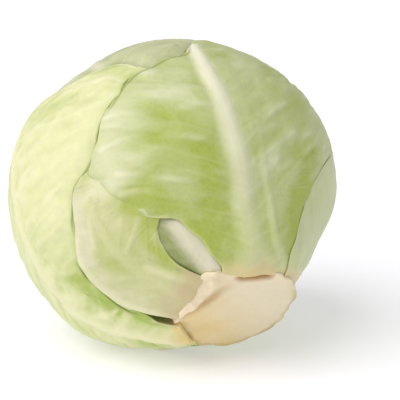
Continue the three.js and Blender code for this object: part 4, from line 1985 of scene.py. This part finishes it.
def lower_left_wrapper_leaf() -> Leaf:
    """The near-white leaf with the rolled margin, low on the left."""
    return Leaf(
        "lower_left_wrapper_leaf", "lower_left_leaf", LOWER_LEFT_FINISH, 54, 66,
        ((15, 37), (8, 37), (2, 34), (-5, 28), (-12, 20), (-23, 10), (-27, 0), (-29, -12),
         (-29, -23), (-24, -32), (-19, -42), (-16, -48), (-10, -55), (15, -57), (16, -52),
         (15.6, -46), (14.5, -41), (13.6, -37), (12.8, -33), (12.4, -30), (12.2, -26),
         (13, -21), (15, -15), (17, -11), (20, -7), (25, -4), (44, 2), (52, 20), (46, 36),
         (34, 42), (24, 40)),
        Ridge(((4, -58), (2, -44), (-1, -30), (-3, -14), (-2, 4), (4, 22), (14, 36)),
              (7, 2.4), (1.0, 0.3), (0.3, 0.2)),
        rib_at=-8,
        ridges=(
            Ridge(((-14, 16), (-21, 8), (-24.5, -1), (-26, -12), (-25.5, -22), (-21, -32),
                   (-16.5, -42), (-13, -50)), (3.6, 3.2), (1.1, 0.8), (0.5, 0.9)),
            Ridge(((9, 24), (1, 20), (-5, 14), (-9, 9)), (2.4, 2.2), (0.5, 0.4),
                  (0.3, 0.3)),
            Ridge(((17, 3), (9, -1), (0, -4), (-5, -7)), (2.4, 2.0), (0.5, 0.4),
                  (0.25, 0.25)),
            Ridge(((0, -16), (4, -25), (8, -36), (12, -45)), (3.0, 4.0), (0.5, 1.0),
                  (0.4, 0.8)),
        ),
        patches=(
            Patch(CREAM, 0, 29, 10, 6, 0.7, -55), Patch(CREAM, -10, 20, 10, 7, 0.8, -50),
            Patch(CREAM, 13, 27, 8, 7, 0.3), Patch(CREAM, -18, 8, 8, 8, 0.8),
            Patch(CREAM, -21, -8, 7, 14, 0.5), Patch(CREAM, -17, -28, 8, 14, 0.25, -20),
            Patch(CREAM, -8, -40, 10, 10, 0.25), Patch(PALE, 9, 27, 9, 5, 0.6),
            Patch(GREEN, 23, 10, 8, 12, 0.9), Patch(GREEN, 22, 0, 7, 9, 1.0),
            Patch(GREEN, 14, -13, 5, 8, 0.9), Patch(GREEN, 12, -24, 4, 8, 0.6),
            Patch(GREEN, 6, 7, 5, 6, 0.3), Patch(GREEN, -5, -14, 8, 14, 0.35),
            Patch(CREAM, 8, -40, 8, 8, 0.5), Patch(TAN, 8, -43, 9, 9, 0.5),
            Patch(PALE, 9, 7, 5, 5, 0.5), Patch(GREEN, -10, 14, 6, 8, 0.25, -40),
        ),
        strokes=(
            # A faint line of painted shade below the front leaf's margin.
            Stroke(SEAM, ((17, -4), (20.5, 0.5), (23, -2.5), (26, -5)), 1.0, 0.35),
        ),
        flush=(Patch(EDGE, 16, -13, 6, 12, 1.4, 14), Patch(EDGE, 17, -48, 6, 9, 1.6, 4)),
        veining=Veining(spacing=9.0, pale=0.15, height=0.3), base_green=0.22,
        streak=0.12, base_tan=(0.85, 15.0), edge_line=0.15, seam_line=1.0, seam_width=0.9,
        segments=170, seed=14,
    )


def left_wrapper_leaf() -> Leaf:
    """The pale yellow leaf on the left, with a dark gap under it by the stalk."""
    return Leaf(
        "left_wrapper_leaf", "left_leaf", LEFT_FINISH, 86, 94,
        ((-11.1, -98), (-10.2, -92), (-9.6, -88), (-9, -84), (-8.2, -81), (-6.5, -78.5),
         (-4.6, -75.5), (-3.3, -72), (0, -66), (14, -52), (34, -40), (58, -32), (84, -18),
         (104, 0), (108, 18), (104, 28), (96, 37), (86, 48), (74, 51), (58, 55), (40, 66),
         (14, 78), (-16, 80), (-44, 70), (-68, 48), (-82, 18), (-86, -14), (-84, -48),
         (-76, -72), (-62, -92), (-44, -105), (-24, -108)),
        Ridge(((-26, -108), (-27, -96), (-27, -84), (-29, -71), (-31, -57), (-29, -44),
               (-24, -34), (-16, -22), (-8, -8), (0, 10), (10, 32), (22, 52), (30, 64)),
              (9, 2.6), (1.8, 0.5), (0.9, 0.5)),
        rib_at=-14,
        ridges=(
            Ridge(((18, 34), (34, 37), (52, 27), (66, 21)), (3.0, 2.0), (0.6, 0.2),
                  (0.45, 0.1)),
            Ridge(((10, 14), (24, 18), (40, 12), (56, 6)), (3.0, 2.0), (0.6, 0.2),
                  (0.45, 0.1)),
            Ridge(((76, 37), (84, 33), (92, 24)), (2.2, 1.6), (0.5, 0.2), (0.8, 0.3)),
            Ridge(((40, 56), (56, 52), (72, 40), (84, 30)), (3.0, 2.0), (0.6, 0.2),
                  (0.4, 0.1)),
            Ridge(((2, 0), (14, 0), (28, -5), (42, -4)), (3.0, 2.0), (0.6, 0.2),
                  (0.45, 0.1)),
            Ridge(((-10, -14), (4, -12), (18, -16), (30, -18)), (3.0, 2.0), (0.6, 0.2),
                  (0.4, 0.1)),
        ),
        # Two negative margin patches take the painted highlight off its margin, by the hole and at
        # its base.
        patches=(
            Patch(GREEN, 1, -42, 8, 8, 0.5), Patch(GREEN, -4, -54, 8, 11, 0.8),
            Patch(GREEN, -6, -68, 7, 11, 1.1), Patch(GREEN, -9, -78, 5, 9, 1.0),
            Patch(GREEN, 8, -32, 6, 6, 0.2), Patch(CREAM, 44, 6, 34, 30, 0.7),
            Patch(CREAM, -28, -54, 5, 34, 0.4), Patch(EDGE, -4, -75, 6, 11, -1.6),
            Patch(GREEN, -38, -80, 12, 14, 0.3),
            Patch(EDGE, -18, -101, 20, 8, -1.6), Patch(TAN, -18, -97, 13, 9, 0.45),
            Patch(GREEN, 84, 42, 16, 5, 0.35, 60), Patch(GREEN, 30, 62, 40, 12, 0.25),
        ),
        # Lines of painted shade beside the margins of the front leaf and of the lower left leaf.
        strokes=(
            Stroke(SEAM, ((68, 1.5), (62, -4), (58, -6.8), (52, -9), (47, -10), (43, -11),
                          (39, -14), (34, -17.6), (28, -21.6), (22.5, -27)), 1.2, 0.75),
            Stroke(SEAM, ((10.5, -33), (6, -40), (3, -46.5), (0, -51.5), (-2.8, -56.5),
                          (-5.5, -63), (-6, -68), (-4.5, -72)), 1.5, 1.0),
        ),
        veining=Veining(spacing=11.0, base_angle=76, tip_angle=62, bend=-0.1, pale=0.25,
                        height=0.4, half_width=2.0, lean=-0.3),
        base_green=0.18, streak=0.32, fold_size=4.2, edge_line=1.0, edge_width=1.7,
        pucker=0.7, fold=0.6, segments=250, seed=15,
    )


def back_right_wrapper_leaf() -> Leaf:
    """The leaf over the head's back."""
    return Leaf(
        "back_right_wrapper_leaf", "back_leaf", BACK_FINISH, 86, -119,
        ((0, 84), (32, 76), (58, 54), (72, 20), (66, -16), (48, -48), (28, -74), (16, -92),
         (0, -97), (-16, -92), (-30, -68), (-54, -40), (-70, -6), (-68, 30), (-46, 62),
         (-20, 78)),
        Ridge(((0, -100), (1, -60), (-2, -20), (2, 20), (0, 78)), (10, 2.6), (1.8, 0.5)),
        segments=150, seed=16,
    )


def front_inner_leaf() -> Leaf:
    """The leaf that shows in the opening beside the stalk and at the top."""
    return Leaf(
        "front_inner_leaf", "inner_leaf", INNER_FINISH, 104, 36,
        ((6, 112), (38, 104), (68, 82), (88, 48), (92, 8), (76, -32), (50, -64), (28, -90),
         (14, -118), (-10, -120), (-26, -90), (-50, -60), (-78, -24), (-92, 14), (-86, 52),
         (-64, 86), (-32, 108)),
        Ridge(((3, -124), (0, -108), (-2, -98), (-4, -88), (-4, -78), (2, -20), (0, 30),
               (4, 104)), (9.5, 2.6), (1.6, 0.5), (1.0, 0.5)),
        rib_at=2,
        # Darker green left of the rib where it shows in the opening, partly its own green and
        # partly painted shade under the lower left leaf's margin.
        patches=(Patch(GREEN, -12, -85, 8, 22, 1.5), Patch(PALE, 1, -88, 3, 14, 0.5, -10)),
        base_tan=NO_TAN, segments=260, seed=17,
    )


def right_inner_leaf() -> Leaf:
    """The leaf beneath on the right."""
    return Leaf(
        "right_inner_leaf", "inner_leaf", INNER_FINISH, 100, -60,
        ((0, 100), (38, 94), (70, 72), (90, 36), (90, -6), (70, -44), (42, -76), (18, -106),
         (0, -114), (-18, -106), (-42, -74), (-72, -40), (-90, -2), (-86, 40), (-66, 74),
         (-36, 96)),
        Ridge(((0, -118), (0, -60), (2, 0), (-1, 40), (0, 94)), (10, 2.6), (1.6, 0.5)),
        base_tan=NO_TAN, segments=130, seed=18,
    )


def back_inner_leaf() -> Leaf:
    """The leaf beneath at the back."""
    return Leaf(
        "back_inner_leaf", "inner_leaf", INNER_FINISH, 102, -153,
        ((0, 96), (36, 92), (68, 72), (88, 38), (88, -4), (68, -44), (40, -78), (16, -108),
         (0, -116), (-16, -108), (-40, -76), (-70, -42), (-88, -2), (-84, 40), (-62, 74),
         (-34, 92)),
        Ridge(((0, -118), (0, -60), (-2, 0), (1, 40), (0, 90)), (10, 2.6), (1.6, 0.5)),
        base_tan=NO_TAN, segments=130, seed=19,
    )


def left_inner_leaf() -> Leaf:
    """The leaf beneath on the left."""
    return Leaf(
        "left_inner_leaf", "inner_leaf", INNER_FINISH, 100, 126,
        ((0, 98), (36, 94), (68, 74), (88, 38), (90, -4), (70, -44), (40, -78), (16, -106),
         (0, -114), (-16, -106), (-42, -74), (-70, -42), (-88, -2), (-86, 38), (-64, 74),
         (-34, 94)),
        Ridge(((0, -116), (0, -60), (1, 0), (-2, 40), (0, 92)), (10, 2.6), (1.6, 0.5)),
        base_tan=NO_TAN, segments=130, seed=20,
    )


LEAVES = (
    right_wrapper_leaf,
    front_wrapper_leaf,
    underside_wrapper_leaf,
    lower_left_wrapper_leaf,
    left_wrapper_leaf,
    back_right_wrapper_leaf,
    front_inner_leaf,
    right_inner_leaf,
    back_inner_leaf,
    left_inner_leaf,
)


# The first three sink the leaves beneath the left leaf into the dark gap by the stalk and darken
# them with painted shade; the last two sink the leaves in the opening.
HOLLOWS = (
    Hollow("left_wrapper_leaf", 31, 98, 4.0, 5.0, 0.6),
    Hollow("left_wrapper_leaf", 27, 101, 5.0, 9.0, 1.0),
    Hollow("left_wrapper_leaf", 24, 102, 4.0, 5.0, 0.6),
    Hollow("lower_left_wrapper_leaf", 46, 44, 7.0, 0.5),
    Hollow("lower_left_wrapper_leaf", 38, 42, 7.0, 0.6),
)


@dataclass
class Cabbage:
    """The whole head: leaves from the outside in, the heart and the stalk.

    Attributes:
        head: The head's shape.
    """

    head: HeadShape

    def build(self) -> list[bpy.types.Object]:
        """Makes every piece.

        Returns:
            The finished objects.
        """
        made, above = [], []
        for make_leaf in LEAVES:
            leaf = make_leaf()
            leaf.place(self.head, above, HOLLOWS)
            made.append(leaf.build())
            above.append(leaf)
        made.append(Heart(self.head, above, HEART_FINISH).build())
        made.append(Stalk(self.head).build())
        return made


# ---- the studio ----
@dataclass(frozen=True)
class Studio:
    """A white table in a bright, soft room, with one broad lamp from the upper left.

    Attributes:
        distance: From the camera to the head's centre, in metres.
        elevation: Degrees the camera stands above it.
        lens: The lens's focal length, in mm.
        sensor: The sensor's width, in mm.
        aim_right: How far right of the centre the camera aims, in metres.
        aim_up: How far above it, in metres.
        room_light: Strength of the white light all around.
        lamp_strength: Strength of the lamp.
        lamp_spread: How broad the lamp looks from the head, in degrees.
        lamp_tint: Linear colour of the lamp.
        lamp_from: The way to the lamp from the head.
        floor_size: The table's side, in metres.
        floor_tint: Colour of the table.
        floor_glow: How strongly the table glows, which keeps it white under the lamp.
    """

    distance: float = 0.9
    elevation: float = 15.0
    lens: float = 162.8
    sensor: float = 36.0
    aim_right: float = 0.0143
    aim_up: float = -0.0032
    room_light: float = 0.5
    lamp_strength: float = 2.12
    lamp_spread: float = 55.0
    lamp_tint: tuple[float, float, float] = (1.0, 0.985, 0.95)
    lamp_from: tuple[float, float, float] = (-0.85, -0.7, 1.35)
    floor_size: float = 8.0
    floor_tint: str = "#dcdce2"
    floor_glow: float = 0.35

    WHITE = (1.0, 1.0, 1.0, 1.0)

    def build(self, head: HeadShape) -> None:
        """Sets the table, the lights and the camera.

        Args:
            head: The head, whose centre everything faces.
        """
        self._table()
        self._light(head)
        self._camera(head)
        bpy.context.scene.view_settings.view_transform = "Standard"

    def _table(self) -> None:
        """Lays a plain pale floor under the head."""
        bm = bmesh.new()
        bmesh.ops.create_grid(bm, x_segments=1, y_segments=1, size=self.floor_size / 2)
        mesh = mesh_from(bm, "floor")
        floor = add_object("floor", mesh)
        material = bpy.data.materials.new("white laminate")
        material.use_nodes = True
        shader = material.node_tree.nodes["Principled BSDF"]
        for name, value in {
            "Base Color": linear_colour(self.floor_tint), "Emission Color": self.WHITE,
            "Emission Strength": self.floor_glow, "Roughness": 0.9, "Specular IOR Level": 0.1,
        }.items():
            shader.inputs[name].default_value = value
        mesh.materials.append(material)

    def _light(self, head: HeadShape) -> None:
        """Fills the room with white light and hangs the lamp.

        Args:
            head: The head that it shines on.
        """
        world = bpy.data.worlds.new("room")
        world.use_nodes = True
        sky = world.node_tree.nodes["Background"]
        sky.inputs["Color"].default_value = self.WHITE
        sky.inputs["Strength"].default_value = self.room_light
        bpy.context.scene.world = world
        lamp = bpy.data.lights.new("broad_lamp", "SUN")
        lamp.angle = math.radians(self.lamp_spread)
        lamp.energy = self.lamp_strength
        lamp.color = self.lamp_tint
        hung = add_object("broad_lamp", lamp)
        offset = Vector(self.lamp_from)
        hung.location = head.centre + offset
        hung.rotation_euler = (-offset).to_track_quat("-Z", "Y").to_euler()

    def _camera(self, head: HeadShape) -> None:
        """Stands the camera in front of the head, slightly above it.

        Args:
            head: The head that it looks at.
        """
        lens = bpy.data.cameras.new("camera")
        lens.lens, lens.sensor_width = self.lens, self.sensor
        camera = add_object("camera", lens)
        rise = math.radians(self.elevation)
        back = Vector((0.0, -math.cos(rise), math.sin(rise)))
        up = Vector((0.0, math.sin(rise), math.cos(rise)))
        camera.location = head.centre + back * self.distance
        aim = head.centre + Vector((1.0, 0.0, 0.0)) * self.aim_right + up * self.aim_up
        camera.rotation_euler = (aim - camera.location).to_track_quat("-Z", "Y").to_euler()
        bpy.context.scene.camera = camera


def main() -> None:
    """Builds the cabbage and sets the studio."""
    logging.basicConfig(level=logging.INFO, format="%(message)s")
    spots = {mount["name"]: mount["pos_m"] for mount in frame["record"]["mounts"]}
    centre = Vector(spots["rest_spot"]) + Vector((0.0, 0.0, HeadShape.height * MM))
    head = HeadShape(centre)
    Cabbage(head).build()
    Studio().build(head)


if __name__ == "__main__":
    main()
